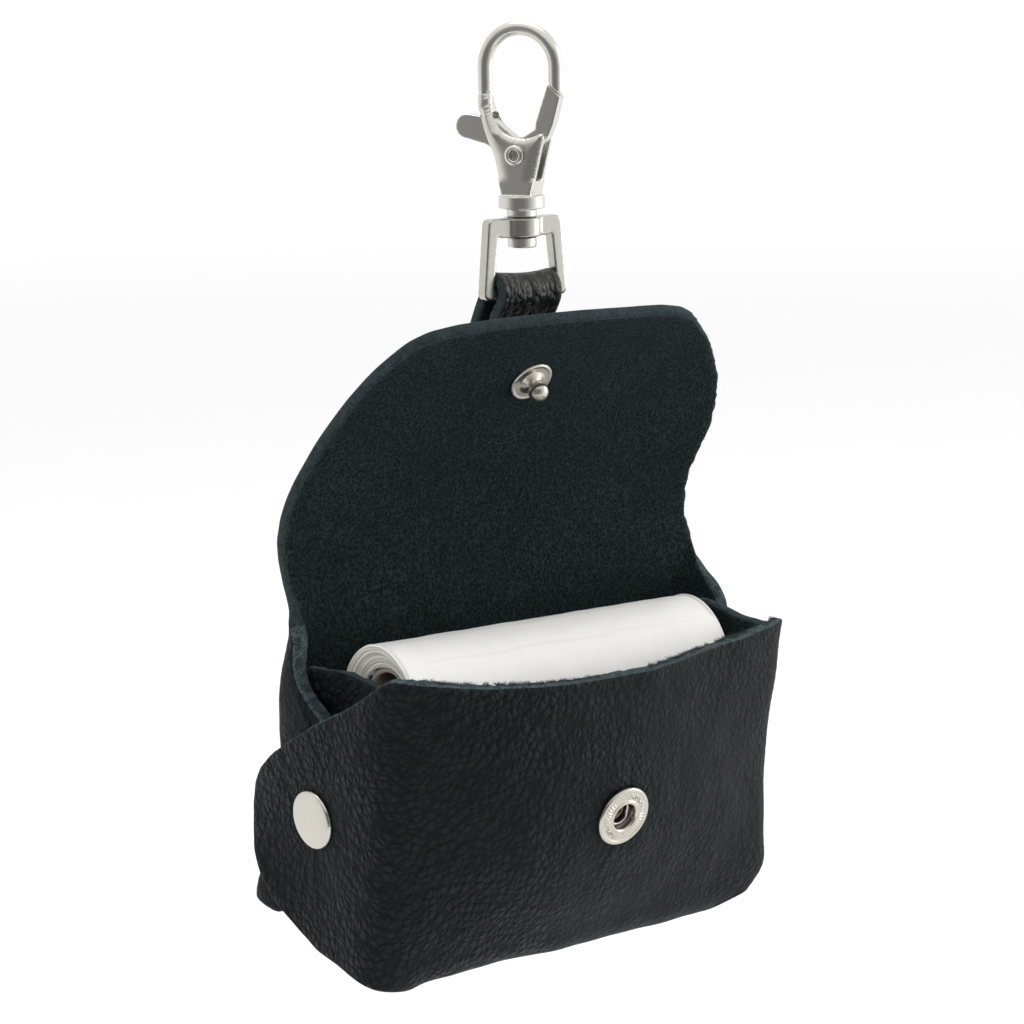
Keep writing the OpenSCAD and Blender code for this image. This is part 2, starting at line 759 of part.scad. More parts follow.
module pin() {
    flange_t = 0.35;
    translate([0, 0, pin_z]) along_front() translate([0, 0, -body_t / 2]) difference() {
        union() {
            cylinder(d = pin_d - 0.04, h = body_t);
            translate([0, 0, -flange_t]) cylinder(d = pin_d + 1, h = flange_t);
            translate([0, 0, body_t]) cylinder(d = pin_d + 1, h = flange_t);
        }
        translate([0, 0, -1]) cylinder(d = pin_bore_d, h = body_t + 2);
    }
}

// One point of the ring of wire at turn angle a
function spring_point(a, b, pitch) =
    let (r = (spring_d - spring_wire_d) / 2, w = spring_wire_d / 2)
    [(r + w * cos(b)) * cos(a), (r + w * cos(b)) * sin(a), a / 360 * pitch + w * sin(b)];

module spring() {
    sides = 6;
    steps = 14 * spring_turns;
    low = slot_floor - spring_pocket + spring_wire_d;
    pitch = (pin_z - hub_r - 0.1 - spring_wire_d - low) / spring_turns;
    points = [for (i = [0:steps]) for (j = [0:sides - 1])
        spring_point(360 * i / 14, 360 * j / sides, pitch)];
    skin = [for (i = [0:steps - 1]) for (j = [0:sides - 1]) let (k = (j + 1) % sides)
        [i * sides + j, (i + 1) * sides + j, (i + 1) * sides + k, i * sides + k]];
    ends = [[for (j = [0:sides - 1]) j], [for (j = [sides - 1:-1:0]) steps * sides + j]];
    translate([spring_x, 0, low]) polyhedron(points, concat(skin, ends));
}

module turned() { rotate([0, 0, hook_turn]) children(); }

// ---- swivel eye ----

// Half of the eye's frame, from the front: shoulder, leg and foot
module eye_half(right) {
    side = right ? 1 : -1;
    top_w = eye_half_w - eye_flare;
    low = eye_bar_z - wire_d / 2;
    shoulder = arc([top_w - eye_corner_r, barrel_top - eye_corner_r], eye_corner_r, 90, 4, 6);
    foot = arc([eye_half_w - 1, low + 1], 1, 0, -90, 6);
    rotate([90, 0, 0]) linear_extrude(wire_d, center = true) polygon([
        for (p = concat(
            [[0, barrel_top]], shoulder, foot,
            [[eye_half_w - leg_w, low], [eye_half_w - leg_w, eye_bar_z + 1], [top_w - leg_w, barrel_bottom + 0.5],
             [top_w - leg_w - 0.5, barrel_bottom], [0, barrel_bottom]]
        )) [side * p[0], p[1]]
    ]);
}

module eye() {
    difference() {
        union() {
            translate([0, 0, barrel_bottom]) cylinder(d = barrel_d, h = barrel_h);
            eye_half(true);
            eye_half(false);
        }
        translate([0, 0, barrel_bottom - 1]) cylinder(r = stem_d / 2 + swivel_gap, h = barrel_h + 2);
    }
    translate([-eye_half_w + leg_w / 2, 0, eye_bar_z]) along_x()
        cylinder(d = wire_d - 2 * e, h = 2 * eye_half_w - leg_w, $fn = 48);
}

// ---- bag roll ----

module at_roll() { translate([-roll_len / 2, roll_y, roll_z]) along_x() children(); }

// ---- nodes ----

module hook_body() { color(nickel) turned() hook_casting(); }
module hook_gate() { color(nickel) turned() gate(); }
module gate_pin() { color(nickel) turned() pin(); }
module gate_spring() { color(nickel) turned() spring(); }
module swivel_eye() { color(nickel) eye(); }
module hanging_strap() { color(grain_black) hung() strap(); }
module strap_rivet_cap() {
    color(nickel) hung() at_strap_rivet() translate([0, 0, layer_gap + 2 * strap_t]) rivet_cap();
}
module strap_rivet_post() {
    color(nickel) hung() at_strap_rivet() translate([0, 0, layer_gap + 2 * strap_t])
        rivet_post(leather_t + layer_gap + 2 * strap_t);
}
module pouch_back() { color(grain_black) hung() back(); }
module pouch_bottom() { color(grain_black) hung() bottom(); }
module pouch_front() { color(grain_black) hung() front(); }
module front_ear_left() { color(grain_black) hung() at_side(false) front_ear(); }
module front_ear_right() { color(grain_black) hung() at_side(true) front_ear(); }
module back_ear_left() { color(grain_black) hung() at_side(false) back_ear(); }
module back_ear_right() { color(grain_black) hung() at_side(true) back_ear(); }
module side_gusset_left() { color(grain_black) hung() at_side(false) gusset(); }
module side_gusset_right() { color(grain_black) hung() at_side(true) gusset(); }
module side_rivet_cap_left() { color(nickel) hung() at_side(false) at_side_rivet() rivet_cap(); }
module side_rivet_cap_right() { color(nickel) hung() at_side(true) at_side_rivet() rivet_cap(); }
module side_rivet_post_left() { color(nickel) hung() at_side(false) at_side_rivet() rivet_post(stack_t); }
module side_rivet_post_right() { color(nickel) hung() at_side(true) at_side_rivet() rivet_post(stack_t); }
module snap_socket() { color(nickel) hung() at_socket() socket(); }
module socket_spring() { color(nickel) hung() at_socket() spring_ring(); }
module socket_eyelet() { color(nickel) hung() at_socket() eyelet(); }
module flap() { color(grain_black) hung() flap_leaf(); }
module snap_stud() { color(nickel) hung() at_stud() stud(); }
module stud_cap() { color(nickel) hung() at_stud() cap_of_stud(); }
module bag_roll() { color(film_white) hung() at_roll() ring(film_bore_r, roll_r, roll_len); }
module roll_core() {
    color(card_brown) hung() at_roll() ring(core_bore_d / 2, core_bore_d / 2 + core_t, roll_len);
}

hook_body();
hook_gate();
gate_pin();
gate_spring();
swivel_eye();
hanging_strap();
strap_rivet_cap();
strap_rivet_post();
pouch_back();
pouch_bottom();
pouch_front();
front_ear_left();
front_ear_right();
back_ear_left();
back_ear_right();
side_gusset_left();
side_gusset_right();
side_rivet_cap_left();
side_rivet_cap_right();
side_rivet_post_left();
side_rivet_post_right();
snap_socket();
socket_spring();
socket_eyelet();
flap();
snap_stud();
stud_cap();
bag_roll();
roll_core();
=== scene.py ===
import json
import math
import bpy
import numpy as np
from mathutils import Matrix, Vector, geometry


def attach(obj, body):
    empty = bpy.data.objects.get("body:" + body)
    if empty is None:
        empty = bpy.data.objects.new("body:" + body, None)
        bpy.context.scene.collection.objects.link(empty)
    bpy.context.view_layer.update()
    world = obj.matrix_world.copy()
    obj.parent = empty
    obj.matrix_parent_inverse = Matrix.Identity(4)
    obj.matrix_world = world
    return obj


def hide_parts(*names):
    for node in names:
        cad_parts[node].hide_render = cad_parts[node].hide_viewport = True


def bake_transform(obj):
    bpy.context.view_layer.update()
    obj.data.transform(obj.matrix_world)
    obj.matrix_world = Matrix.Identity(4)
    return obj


# A leather pouch for waste bags on a swivel hook. Sizes in the dictionaries are millimetres and degrees.
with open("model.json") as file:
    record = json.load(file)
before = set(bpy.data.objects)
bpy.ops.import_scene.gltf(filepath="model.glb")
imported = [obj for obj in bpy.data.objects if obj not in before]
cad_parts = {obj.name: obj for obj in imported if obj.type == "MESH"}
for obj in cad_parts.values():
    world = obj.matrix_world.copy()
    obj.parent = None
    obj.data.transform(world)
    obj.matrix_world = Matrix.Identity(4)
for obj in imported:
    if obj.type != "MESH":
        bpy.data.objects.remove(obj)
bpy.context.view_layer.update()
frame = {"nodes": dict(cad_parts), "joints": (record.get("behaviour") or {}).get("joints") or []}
print("frame loaded")


def ease(t):  # a soft step from 0 to 1
    t = np.clip(t, 0, 1)
    return t * t * (3 - 2 * t)


def ripple(u, w, seed, size, count=7):  # an uneven surface, about -1 to 1
    dice = np.random.default_rng(seed)
    total = 0
    for _ in range(count):
        turn, start = dice.uniform(0, 2 * math.pi, 2)
        pace = 2 * math.pi / (size * dice.uniform(.6, 1.7))
        total = total + np.sin(pace * (math.cos(turn) * u + math.sin(turn) * w) + start)
    return total / count ** .5 / 1.4


def bellKernel(soften, step):
    reach = int(3 * soften / step) + 1
    bell = np.exp(-.5 * (np.arange(-reach, reach + 1) * step / soften) ** 2)
    return reach, bell / bell.sum()


class Line:  # a bent line in a plane, followed by the length along it
    def __init__(self, points, soften, step=.2):
        points = np.array(points, float)
        run = np.concatenate([[0], np.cumsum(np.linalg.norm(np.diff(points, axis=0), axis=1))])
        marks = np.linspace(0, run[-1], int(run[-1] / step) + 2)
        fine = np.stack([np.interp(marks, run, points[:, k]) for k in (0, 1)], 1)
        reach, bell = bellKernel(soften, step)
        head = fine[0] + (fine[0] - fine[1]) * np.arange(reach, 0, -1)[:, None]
        tail = fine[-1] + (fine[-1] - fine[-2]) * np.arange(1, reach + 1)[:, None]
        long = np.concatenate([head, fine, tail])
        self.points = np.stack([np.convolve(long[:, k], bell, "valid") for k in (0, 1)], 1)
        self.run = np.concatenate([[0], np.cumsum(np.linalg.norm(np.diff(self.points, axis=0), axis=1))])
        self.length = self.run[-1]

    def at(self, s):
        inside = np.clip(s, 0, self.length)
        spot = np.stack([np.interp(inside, self.run, self.points[:, k]) for k in (0, 1)], -1)
        return spot + (np.asarray(s) - inside)[..., None] * self.heading(inside)

    def heading(self, s, look=.3):
        a, b = (np.clip(np.asarray(s) + ahead, 0, self.length) for ahead in (-look, look))
        d = np.stack([np.interp(b, self.run, self.points[:, k]) - np.interp(a, self.run, self.points[:, k])
                      for k in (0, 1)], -1)
        return d / np.linalg.norm(d, axis=-1, keepdims=True)

    def nearest(self, point):
        return self.run[np.argmin(np.linalg.norm(self.points - np.array(point), axis=1))]


def softLoop(points, soften, pitch, step=.15):  # a closed outline with rounded corners and even spacing
    points = np.array(points, float)
    closed = np.concatenate([points, points[:1]])
    run = np.concatenate([[0], np.cumsum(np.linalg.norm(np.diff(closed, axis=0), axis=1))])
    marks = np.arange(0, run[-1], step)
    fine = np.stack([np.interp(marks, run, closed[:, k]) for k in (0, 1)], 1)
    reach, bell = bellKernel(soften, step)
    wrapped = np.concatenate([fine[-reach:], fine, fine[:reach]])
    soft = np.stack([np.convolve(wrapped[:, k], bell, "valid") for k in (0, 1)], 1)
    closed = np.concatenate([soft, soft[:1]])
    run = np.concatenate([[0], np.cumsum(np.linalg.norm(np.diff(closed, axis=0), axis=1))])
    marks = np.linspace(0, run[-1], int(run[-1] / pitch) + 1)[:-1]
    return np.stack([np.interp(marks, run, closed[:, k]) for k in (0, 1)], 1)


def areaOf(loop):  # positive where the loop runs to the left
    x, y = loop[:, 0], loop[:, 1]
    return .5 * float(np.sum(x * np.roll(y, -1) - y * np.roll(x, -1)))


def inwardOf(loop):
    d = np.roll(loop, -1, axis=0) - np.roll(loop, 1, axis=0)
    d /= np.linalg.norm(d, axis=1, keepdims=True)
    return np.stack([-d[:, 1], d[:, 0]], 1)


def insideOf(points, loops):
    inside = np.zeros(len(points), bool)
    for loop in loops:
        nextOne = np.roll(loop, -1, axis=0)
        for (x0, y0), (x1, y1) in zip(loop, nextOne):
            if y0 != y1:
                hit = (points[:, 1] > min(y0, y1)) & (points[:, 1] <= max(y0, y1))
                hit &= points[:, 0] < x0 + (points[:, 1] - y0) * (x1 - x0) / (y1 - y0)
                inside ^= hit
    return inside


def distanceTo(points, targets, batch=200):
    best = np.full(len(points), 1e9)
    for first in range(0, len(targets), batch):
        part = targets[first:first + batch]
        best = np.minimum(best, np.linalg.norm(points[:, None] - part[None], axis=2).min(1))
    return best


def meshPiece(name, verts, faces, mats, slots=None, fields=None):
    mesh = bpy.data.meshes.new(name)
    mesh.from_pydata([tuple(v) for v in np.asarray(verts, float)], [], [tuple(int(i) for i in f) for f in faces])
    for m in mats:
        mesh.materials.append(m)
    mesh.polygons.foreach_set("use_smooth", [True] * len(mesh.polygons))
    if slots is not None:
        mesh.polygons.foreach_set("material_index", list(slots))
    for key, values in (fields or {}).items():
        values = np.asarray(values, np.float32)
        kind = "FLOAT_VECTOR" if values.ndim == 2 else "FLOAT"
        layer = mesh.attributes.new(key, kind, "POINT")
        layer.data.foreach_set("vector" if values.ndim == 2 else "value", values.ravel())
    mesh.update()
    made = bpy.data.objects.new(name, mesh)
    bpy.context.scene.collection.objects.link(made)
    return made


def normalOf(at, u, w, h=.12):
    du, dw = at(u + h, w) - at(u - h, w), at(u, w + h) - at(u, w - h)
    n = np.cross(du, dw)
    return n / np.linalg.norm(n, axis=-1, keepdims=True)


# shares of a sheet's pitch: along its edge, from row to row and clear of the edge; lipReach in mm
weave = {"edge": .8, "row": .866, "clear": .55, "lipReach": 2.4}
# a cut edge from grain to flesh: inset in bevels, depth as shares of the thickness and the bevel, roughness in mm
cutSteps = [(.29, 0, .29, 0), (0, 0, 1, .03), (0, .42, 0, .07), (0, .72, 0, .09), (.29, 1, -.29, .1)]


def cutLeather(name, edge, at, cut, holes=(), seed=1):
    # edge is the flat outline, at() bends a flat point into place on the grain side
    outer = softLoop(edge, cut["corner"], cut["pitch"] * weave["edge"])
    outer = outer if areaOf(outer) > 0 else outer[::-1]
    loops = [outer]
    for centre, radius in holes:
        turn = np.linspace(0, -2 * math.pi, 33)[:-1]
        loops.append(np.array(centre) + radius * np.stack([np.cos(turn), np.sin(turn)], 1))
    bevel, thick = cut["bevel"], cut["thick"]
    rings = [loop + inwardOf(loop) * bevel for loop in loops]
    low, high = outer.min(0), outer.max(0)
    pitch = cut["pitch"]
    grid = []
    for i, w in enumerate(np.arange(low[1], high[1], pitch * weave["row"])):
        across = np.arange(low[0] + (i % 2) * pitch / 2, high[0], pitch)
        grid.append(np.stack([across, np.full(len(across), w)], 1))
    grid = np.concatenate(grid)
    grid = grid[insideOf(grid, rings)]
    allRings = np.concatenate(rings)
    grid = grid[distanceTo(grid, allRings) > pitch * weave["clear"]]
    flat = np.concatenate([allRings, grid])
    edges, first = [], 0
    for ring in rings:
        n = len(ring)
        edges += [(first + i, first + (i + 1) % n) for i in range(n)]
        first += n
    got = geometry.delaunay_2d_cdt([Vector(p) for p in flat], edges, [], 0, 1e-6)
    back = [ids[0] if ids else -1 for ids in got[3]]
    tris = np.array([[back[i] for i in f] for f in got[2]])
    tris = tris[(tris >= 0).all(1)]
    tris = tris[insideOf(flat[tris].mean(1), rings)]
    count = len(flat)
    skin = at(flat[:, 0], flat[:, 1])
    n = normalOf(at, flat[:, 0], flat[:, 1])
    rim = distanceTo(flat, np.concatenate(loops))
    lip = cut.get("lip", lambda u, w: 0 * u)
    under = thick + lip(flat[:, 0], flat[:, 1]) * (1 - ease(rim / weave["lipReach"]))
    verts = [skin, skin - n * under[:, None] / 1000]
    field = [np.c_[flat, np.zeros(count)], np.c_[flat, np.full(count, -thick)]]
    rims = [rim, rim]
    faces = [list(t) for t in tris] + [[t[0] + count, t[2] + count, t[1] + count] for t in tris]
    slots = [0] * len(tris) + [1] * len(tris)
    dice = np.random.default_rng(seed)
    base, first = 2 * count, 0
    for loop in loops:
        size, inward = len(loop), inwardOf(loop)
        ids = [np.arange(first, first + size)]
        for inset, ofThick, ofBevel, rough in cutSteps:
            move = inset * bevel + dice.normal(0, 1, size) * rough * cut["fuzz"]
            depth = thick * ofThick + bevel * ofBevel
            spot = loop + inward * move[:, None]
            depth = depth + lip(spot[:, 0], spot[:, 1]) * max(0, depth / thick)
            here = at(spot[:, 0], spot[:, 1]) - normalOf(at, spot[:, 0], spot[:, 1]) * depth[:, None] / 1000
            verts.append(here)
            field.append(np.c_[spot, -depth])
            rims.append(np.zeros(size))
            ids.append(np.arange(base, base + size))
            base += size
        ids.append(np.arange(count + first, count + first + size))
        for k in range(len(ids) - 1):
            a, b = ids[k], ids[k + 1]
            for i in range(size):
                j = (i + 1) % size
                faces.append([a[j], a[i], b[i], b[j]])
                slots.append(0 if k == 0 else 2)
        first += size
    made = meshPiece(name, np.concatenate(verts), faces, cut["looks"], slots,
                     {"flat": np.concatenate(field), "rim": np.concatenate(rims)})
    print("cut", name, len(faces))
    return made


def frameAt(at, u, w, lift=0.0):  # a frame on the leather, its Z out of the grain side
    u, w = np.array([float(u)]), np.array([float(w)])
    spot, n = at(u, w)[0], normalOf(at, u, w)[0]
    side = (at(u + .2, w) - at(u - .2, w))[0]
    side -= n * side.dot(n)
    side /= np.linalg.norm(side)
    m = np.eye(4)
    m[:3, 0], m[:3, 1], m[:3, 2], m[:3, 3] = side, np.cross(n, side), n, spot + n * lift / 1000
    return m


def spun(name, profile, place, mat, around=96, warp=None):  # a turned piece; the profile is radius, height
    profile = np.array(profile, float)
    turn = np.linspace(0, 2 * math.pi, around + 1)[:-1]
    verts, ids = [], []
    for r, z in profile:
        if r < 1e-6:
            ids.append([len(verts)] * around)
            verts.append((0, 0, z))
        else:
            ids.append(list(range(len(verts), len(verts) + around)))
            verts += [(r * math.cos(a), r * math.sin(a), z) for a in turn]
    faces = []
    for a, b in zip(ids[:-1], ids[1:]):
        for i in range(around):
            j = (i + 1) % around
            ring = [a[i], a[j], b[j], b[i]]
            faces.append([v for k, v in enumerate(ring) if v != ring[k - 1]])
    verts = np.array(verts)
    if warp:
        verts = warp(verts)
    world = (np.c_[verts / 1000, np.ones(len(verts))] @ np.array(place).T)[:, :3]
    return meshPiece(name, world, faces, [mat])


def bendProfile(points, step=.06, soften=.07):  # rounds a profile's corners a little
    line = Line(points, soften, .03)
    marks = np.linspace(0, line.length, int(line.length / step) + 2)
    spots = line.at(marks)
    spots[:, 0] = np.maximum(spots[:, 0], 0)
    spots[0], spots[-1] = points[0], points[-1]
    return spots


def castFrom(node, voxel, rounds, mat):  # a copy of the fixed solid with a casting's soft edges
    source = frame["nodes"][node]
    made = bpy.data.objects.new(node + "Cast", source.data.copy())
    bpy.context.scene.collection.objects.link(made)
    remesh = made.modifiers.new("skin", "REMESH")
    remesh.mode, remesh.voxel_size = "VOXEL", voxel / 1000
    soften = made.modifiers.new("soften", "SMOOTH")
    soften.factor, soften.iterations = .5, rounds
    bpy.context.view_layer.update()
    ready = made.evaluated_get(bpy.context.evaluated_depsgraph_get())
    mesh = bpy.data.meshes.new_from_object(ready)
    made.modifiers.clear()
    made.data = mesh
    mesh.materials.clear()
    mesh.materials.append(mat)
    mesh.polygons.foreach_set("material_index", [0] * len(mesh.polygons))
    mesh.polygons.foreach_set("use_smooth", [True] * len(mesh.polygons))
    print("cast", node, len(mesh.polygons))
    return made


# the hook's cheeks, from their foot to where the bow's wire begins; pin is its x, z and clear radius
cheeks = {"turn": -58.0, "foot": -22.5, "shoulder": -15.0, "top": -8.6, "slotTop": -11.7, "slot": 1.45,
          "half": 2.5, "topHalf": 1.2, "wide": 2.1, "topWide": 1.2, "drop": .78, "topDrop": 1.1,
          "fade": 1.2, "over": .4, "trim": .3, "reach": 2, "pin": (0, -18.1, 2.2),
          "cell": .16, "columns": 80, "spare": 10}


def roundCheeks(piece):  # the flat cast cheeks swell to their middle and run round into the wire of the bow
    c, s = math.cos(math.radians(cheeks["turn"])), math.sin(math.radians(cheeks["turn"]))
    foot, top, fade, over = (cheeks[key] for key in ("foot", "top", "fade", "over"))
    cell, columns, spare = (cheeks[key] for key in ("cell", "columns", "spare"))
    mesh = piece.data
    raw = np.empty(len(mesh.vertices) * 3)
    mesh.vertices.foreach_get("co", raw)
    raw = raw.reshape(-1, 3) * 1000
    x, y, z = raw[:, 0] * c + raw[:, 1] * s, -raw[:, 0] * s + raw[:, 1] * c, raw[:, 2]
    column, row = np.round(x / cell).astype(int) + columns, np.round((z - foot) / cell).astype(int) + spare
    tall = int((top - foot) / cell) + 2 * spare
    shape = np.zeros((2 * columns, tall), bool)  # the casting's side view on a grid of small cells
    near = (row >= 0) & (row < tall) & (column > 0) & (column < 2 * columns)
    shape[column[near], row[near]] = True
    inner = shape[:-2, 1:-1] & shape[2:, 1:-1] & shape[1:-1, :-2] & shape[1:-1, 2:]
    outline = np.argwhere(shape[1:-1, 1:-1] & ~inner) + 1
    outline = np.stack([(outline[:, 0] - columns) * cell, (outline[:, 1] - spare) * cell + foot], 1)
    px, pz, pr = cheeks["pin"]
    outline = outline[np.hypot(outline[:, 0] - px, outline[:, 1] - pz) > pr]
    outline = outline[(outline[:, 1] > foot + cheeks["trim"]) & (outline[:, 1] < top + cheeks["reach"])]
    use = (z > foot) & (z < top + over)
    up = ease((z[use] - cheeks["shoulder"]) / (top - cheeks["shoulder"]))
    wide, drop, half = (cheeks[low] + (cheeks[high] - cheeks[low]) * up
                        for low, high in (("wide", "topWide"), ("drop", "topDrop"), ("half", "topHalf")))
    keep = cheeks["slot"] * ease((cheeks["slotTop"] + fade / 2 - z[use]) / fade)
    far = distanceTo(np.stack([x[use], z[use]], 1), outline)
    dip = drop * (1 - np.sqrt(1 - (1 - np.clip(far / wide, 0, 1)) ** 2)) * ease((z[use] - foot) / fade)
    dip *= ease((top + over - z[use]) / (2 * over))
    size = np.abs(y[use])
    share = np.clip((size - keep) / np.maximum(half - keep, .1), 0, 1.05)
    y[use] = np.sign(y[use]) * (size - share * dip)
    raw = np.stack([x * c - y * s, x * s + y * c, z], 1) / 1000
    mesh.vertices.foreach_set("co", raw.reshape(-1))
    mesh.update()


class Flow:  # one value or colour in a tree of nodes, so that sums read as sums
    def __init__(self, sheet, socket):
        self.sheet, self.socket = sheet, socket

    def sum(self, kind, other, swap=False):
        pair = [other, self] if swap else [self, other]
        return self.sheet.add("ShaderNodeMath", {"operation": kind}, pair)

    def __add__(self, other): return self.sum("ADD", other)
    def __radd__(self, other): return self.sum("ADD", other, True)
    def __sub__(self, other): return self.sum("SUBTRACT", other)
    def __rsub__(self, other): return self.sum("SUBTRACT", other, True)
    def __mul__(self, other): return self.sum("MULTIPLY", other)
    def __rmul__(self, other): return self.sum("MULTIPLY", other, True)


class Sheet:  # a tree of nodes
    def __init__(self, tree):
        self.tree = tree

    def add(self, kind, settings=None, values=None, out=0):  # every node comes from here
        node = self.tree.nodes.new(kind)
        for key, value in (settings or {}).items():
            setattr(node, key, value)
        pairs = values.items() if isinstance(values, dict) else enumerate(values or [])
        for key, value in pairs:
            if isinstance(value, Flow):
                self.tree.links.new(value.socket, node.inputs[key])
            else:
                node.inputs[key].default_value = value
        return Flow(self, node.outputs[out]) if node.outputs else None

    def whiteForTheEye(self):  # 1 where the camera, a mirror or glass sees it
        seen = self.add("ShaderNodeLightPath", {}, {}, "Is Camera Ray")
        rays = seen.socket.node.outputs
        for kind in ("Is Glossy Ray", "Is Transmission Ray"):
            seen = self.add("ShaderNodeMath", {"operation": "MAXIMUM"}, [seen, Flow(self, rays[kind])])
        return seen


class Finish(Sheet):  # a material
    def __init__(self, name, **constants):
        self.mat = bpy.data.materials.new(name)
        self.mat.use_nodes = True
        super().__init__(self.mat.node_tree)
        self.skin = self.tree.nodes["Principled BSDF"]
        for key, value in constants.items():
            self.skin.inputs[key.replace("_", " ")].default_value = value

    def field(self, name, out="Vector"):
        return self.add("ShaderNodeAttribute", {"attribute_name": name}, {}, out)

    def space(self):
        return self.add("ShaderNodeTexCoord", {}, {}, "Object")

    def vector(self, kind, values, out=0):
        return self.add("ShaderNodeVectorMath", {"operation": kind}, values, out)

    def stretch(self, spot, size):
        return self.vector("MULTIPLY", [spot, size])

    def shift(self, spot, other):
        return self.vector("ADD", [spot, other])

    def wander(self, spot, scale, amount):  # the same place, pushed about by noise
        push = self.add("ShaderNodeTexNoise", {}, {"Vector": spot, "Scale": scale, "Detail": 2.0}, "Color")
        push = self.shift(push, (-.5, -.5, -.5))
        return self.shift(spot, self.stretch(push, (amount, amount, amount)))

    def noise(self, spot, scale, detail=3.0, rough=.55):
        return self.add("ShaderNodeTexNoise", {},
                        {"Vector": spot, "Scale": scale, "Detail": detail, "Roughness": rough})

    def cells(self, spot, feature="DISTANCE_TO_EDGE", loose=1.0):
        return self.add("ShaderNodeTexVoronoi", {"feature": feature},
                        {"Vector": spot, "Scale": 1.0, "Randomness": loose}, "Distance")

    def fit(self, value, low, high, newLow=0.0, newHigh=1.0):
        return self.add("ShaderNodeMapRange", {"interpolation_type": "SMOOTHSTEP"},
                        [value, low, high, newLow, newHigh])

    def tint(self, mask, a, b):  # a Mix node's colours are its sockets 6 and 7, and its mixed colour is output 2
        values = {0: mask, 6: a if isinstance(a, Flow) else (*a, 1), 7: b if isinstance(b, Flow) else (*b, 1)}
        return self.add("ShaderNodeMix", {"data_type": "RGBA", "blend_type": "MIX"}, values, 2)

    def bump(self, height, distance, strength=1.0):
        return self.add("ShaderNodeBump", {}, {"Height": height, "Distance": distance / 1000, "Strength": strength})

    def give(self, **sockets):
        for key, value in sockets.items():
            self.tree.links.new(value.socket, self.skin.inputs[key.replace("_", " ")])
        return self.mat


# pebbled black leather, with painted shade in the valleys between the pebbles; rivet is where the creases start, on
# the flat leather
grain = {"valleyShade": (.0006, .0011, .0014), "top": (.0036, .0056, .0070), "brown": (.0056, .0060, .0066),
         "worn": (.015, .019, .020), "size": (.86, .76, .5), "deep": .36, "rivet": (53.1, 21.5, 0),
         "shine": .24, "dry": .60, "pleats": (.6, .2, .5), "pleatDeep": .18, "gleam": (.79, .94, 1.0)}
strapGrain = dict(grain, shine=.62, dry=.44, pleats=(.44, .11, .4), pleatDeep=.85, gleam=(1, 1, .97))


def grainLeather(name, own):
    f = Finish(name, Specular_IOR_Level=own["shine"], Sheen_Weight=.01, Sheen_Roughness=.4)
    f.skin.inputs["Specular Tint"].default_value = (*own["gleam"], 1)
    flat = f.field("flat")
    pebbles = f.stretch(f.wander(flat, .6, .6), own["size"])
    domes = 1.0 - f.fit(f.cells(pebbles, "F1", .85), .05, .80)
    valleys = f.fit(f.cells(pebbles, loose=.85), .0, .34)
    small = f.fit(f.cells(f.stretch(f.wander(flat, 1.3, .4), (2.3, 2.0, 1)), "F1"), .75, .1)
    cloud = f.noise(flat, .05, 2.0)
    plain = f.fit(cloud, .40, .60, .45, 1.0)
    folds = f.fit(f.noise(f.stretch(f.wander(flat, .12, 3.0), own["pleats"]), 1.0, 3.0), .40, .62)
    pores = f.noise(flat, 3.6, 3.0, .6)
    # creases run out from both side rivets
    away = f.shift(f.vector("ABSOLUTE", [f.stretch(flat, (1, 1, 0))]), tuple(-c for c in own["rivet"]))
    reach = f.vector("LENGTH", [away], "Value")
    ray = f.vector("NORMALIZE", [away])
    creased = f.fit(f.noise(f.shift(ray, (4.0, 2.0, 0)), 2.7, 2.0, .5), .38, .62)
    creased = creased * f.fit(reach, 4.2, 6.5) * f.fit(reach, 23.0, 7.0)
    # the pebbles stand out more towards one side
    across = f.vector("DOT_PRODUCT", [flat, (-1, 0, 0)], "Value")
    pebble = (domes * .65 + valleys * .35) * plain * f.fit(across, -14, 26, .62, 1.65)
    height = pebble + small * .22 * plain + pores * .14 + folds * own["pleatDeep"] + creased * 1.15
    rim = f.field("rim", "Fac")
    wear = f.fit(rim, 1.1, .15) * f.fit(f.noise(flat, .8, 3.0), .38, .66)
    # painted shade: the colour goes darker in the valleys between the pebbles and keeps the leather's own tone on
    # their tops
    lift = (domes * .55 + valleys * .45) * (.4 + .6 * f.noise(flat, .5, 2.0))
    face = f.tint(f.fit(f.noise(flat, .11, 3.0), .42, .6), own["top"], own["brown"])
    colour = f.tint(lift, own["valleyShade"], face)
    colour = f.tint(wear * .5, colour, own["worn"])
    rough = own["dry"] - pebble * .12 + cloud * .08 + pores * .1
    return f.give(Base_Color=colour, Roughness=rough, Normal=f.bump(height, own["deep"]))


flesh = {"low": (.0010, .0019, .0022), "high": (.026, .037, .040), "gleam": (.42, .72, .78), "deep": .3}


def fleshLeather():  # the napped inner side
    f = Finish("fleshLeather", Specular_IOR_Level=.1, Sheen_Weight=.05, Sheen_Roughness=.6)
    f.skin.inputs["Sheen Tint"].default_value = (*flesh["gleam"], 1)
    flat = f.field("flat")
    spot = f.wander(flat, 1.1, .9)
    nap = f.noise(spot, 2.5, 3.0, .7)
    curl = f.cells(f.stretch(spot, (1.9, 1.6, 1.0)), "F1")
    patch = f.noise(flat, .07, 3.0)
    lay = f.noise(f.stretch(f.wander(flat, .2, 4.0), (.5, .16, 1)), 1.0, 3.0)
    height = nap * .9 + f.fit(curl, .05, .75) * .4 + lay * .4
    light = f.fit(nap + curl * .22, .46, .86) * (.35 + .9 * patch)
    rim = f.field("rim", "Fac")
    light = light + f.fit(rim, 1.6, .3) * f.fit(nap, .4, .6) * .35
    return f.give(Base_Color=f.tint(light, flesh["low"], flesh["high"]), Roughness=.86 + nap * .12,
                  Normal=f.bump(height, flesh["deep"]))


cutSide = {"low": (.006, .010, .012), "rim": (.085, .112, .120), "dim": (.030, .040, .043),
           "gleam": (.6, .8, .85), "deep": .16}


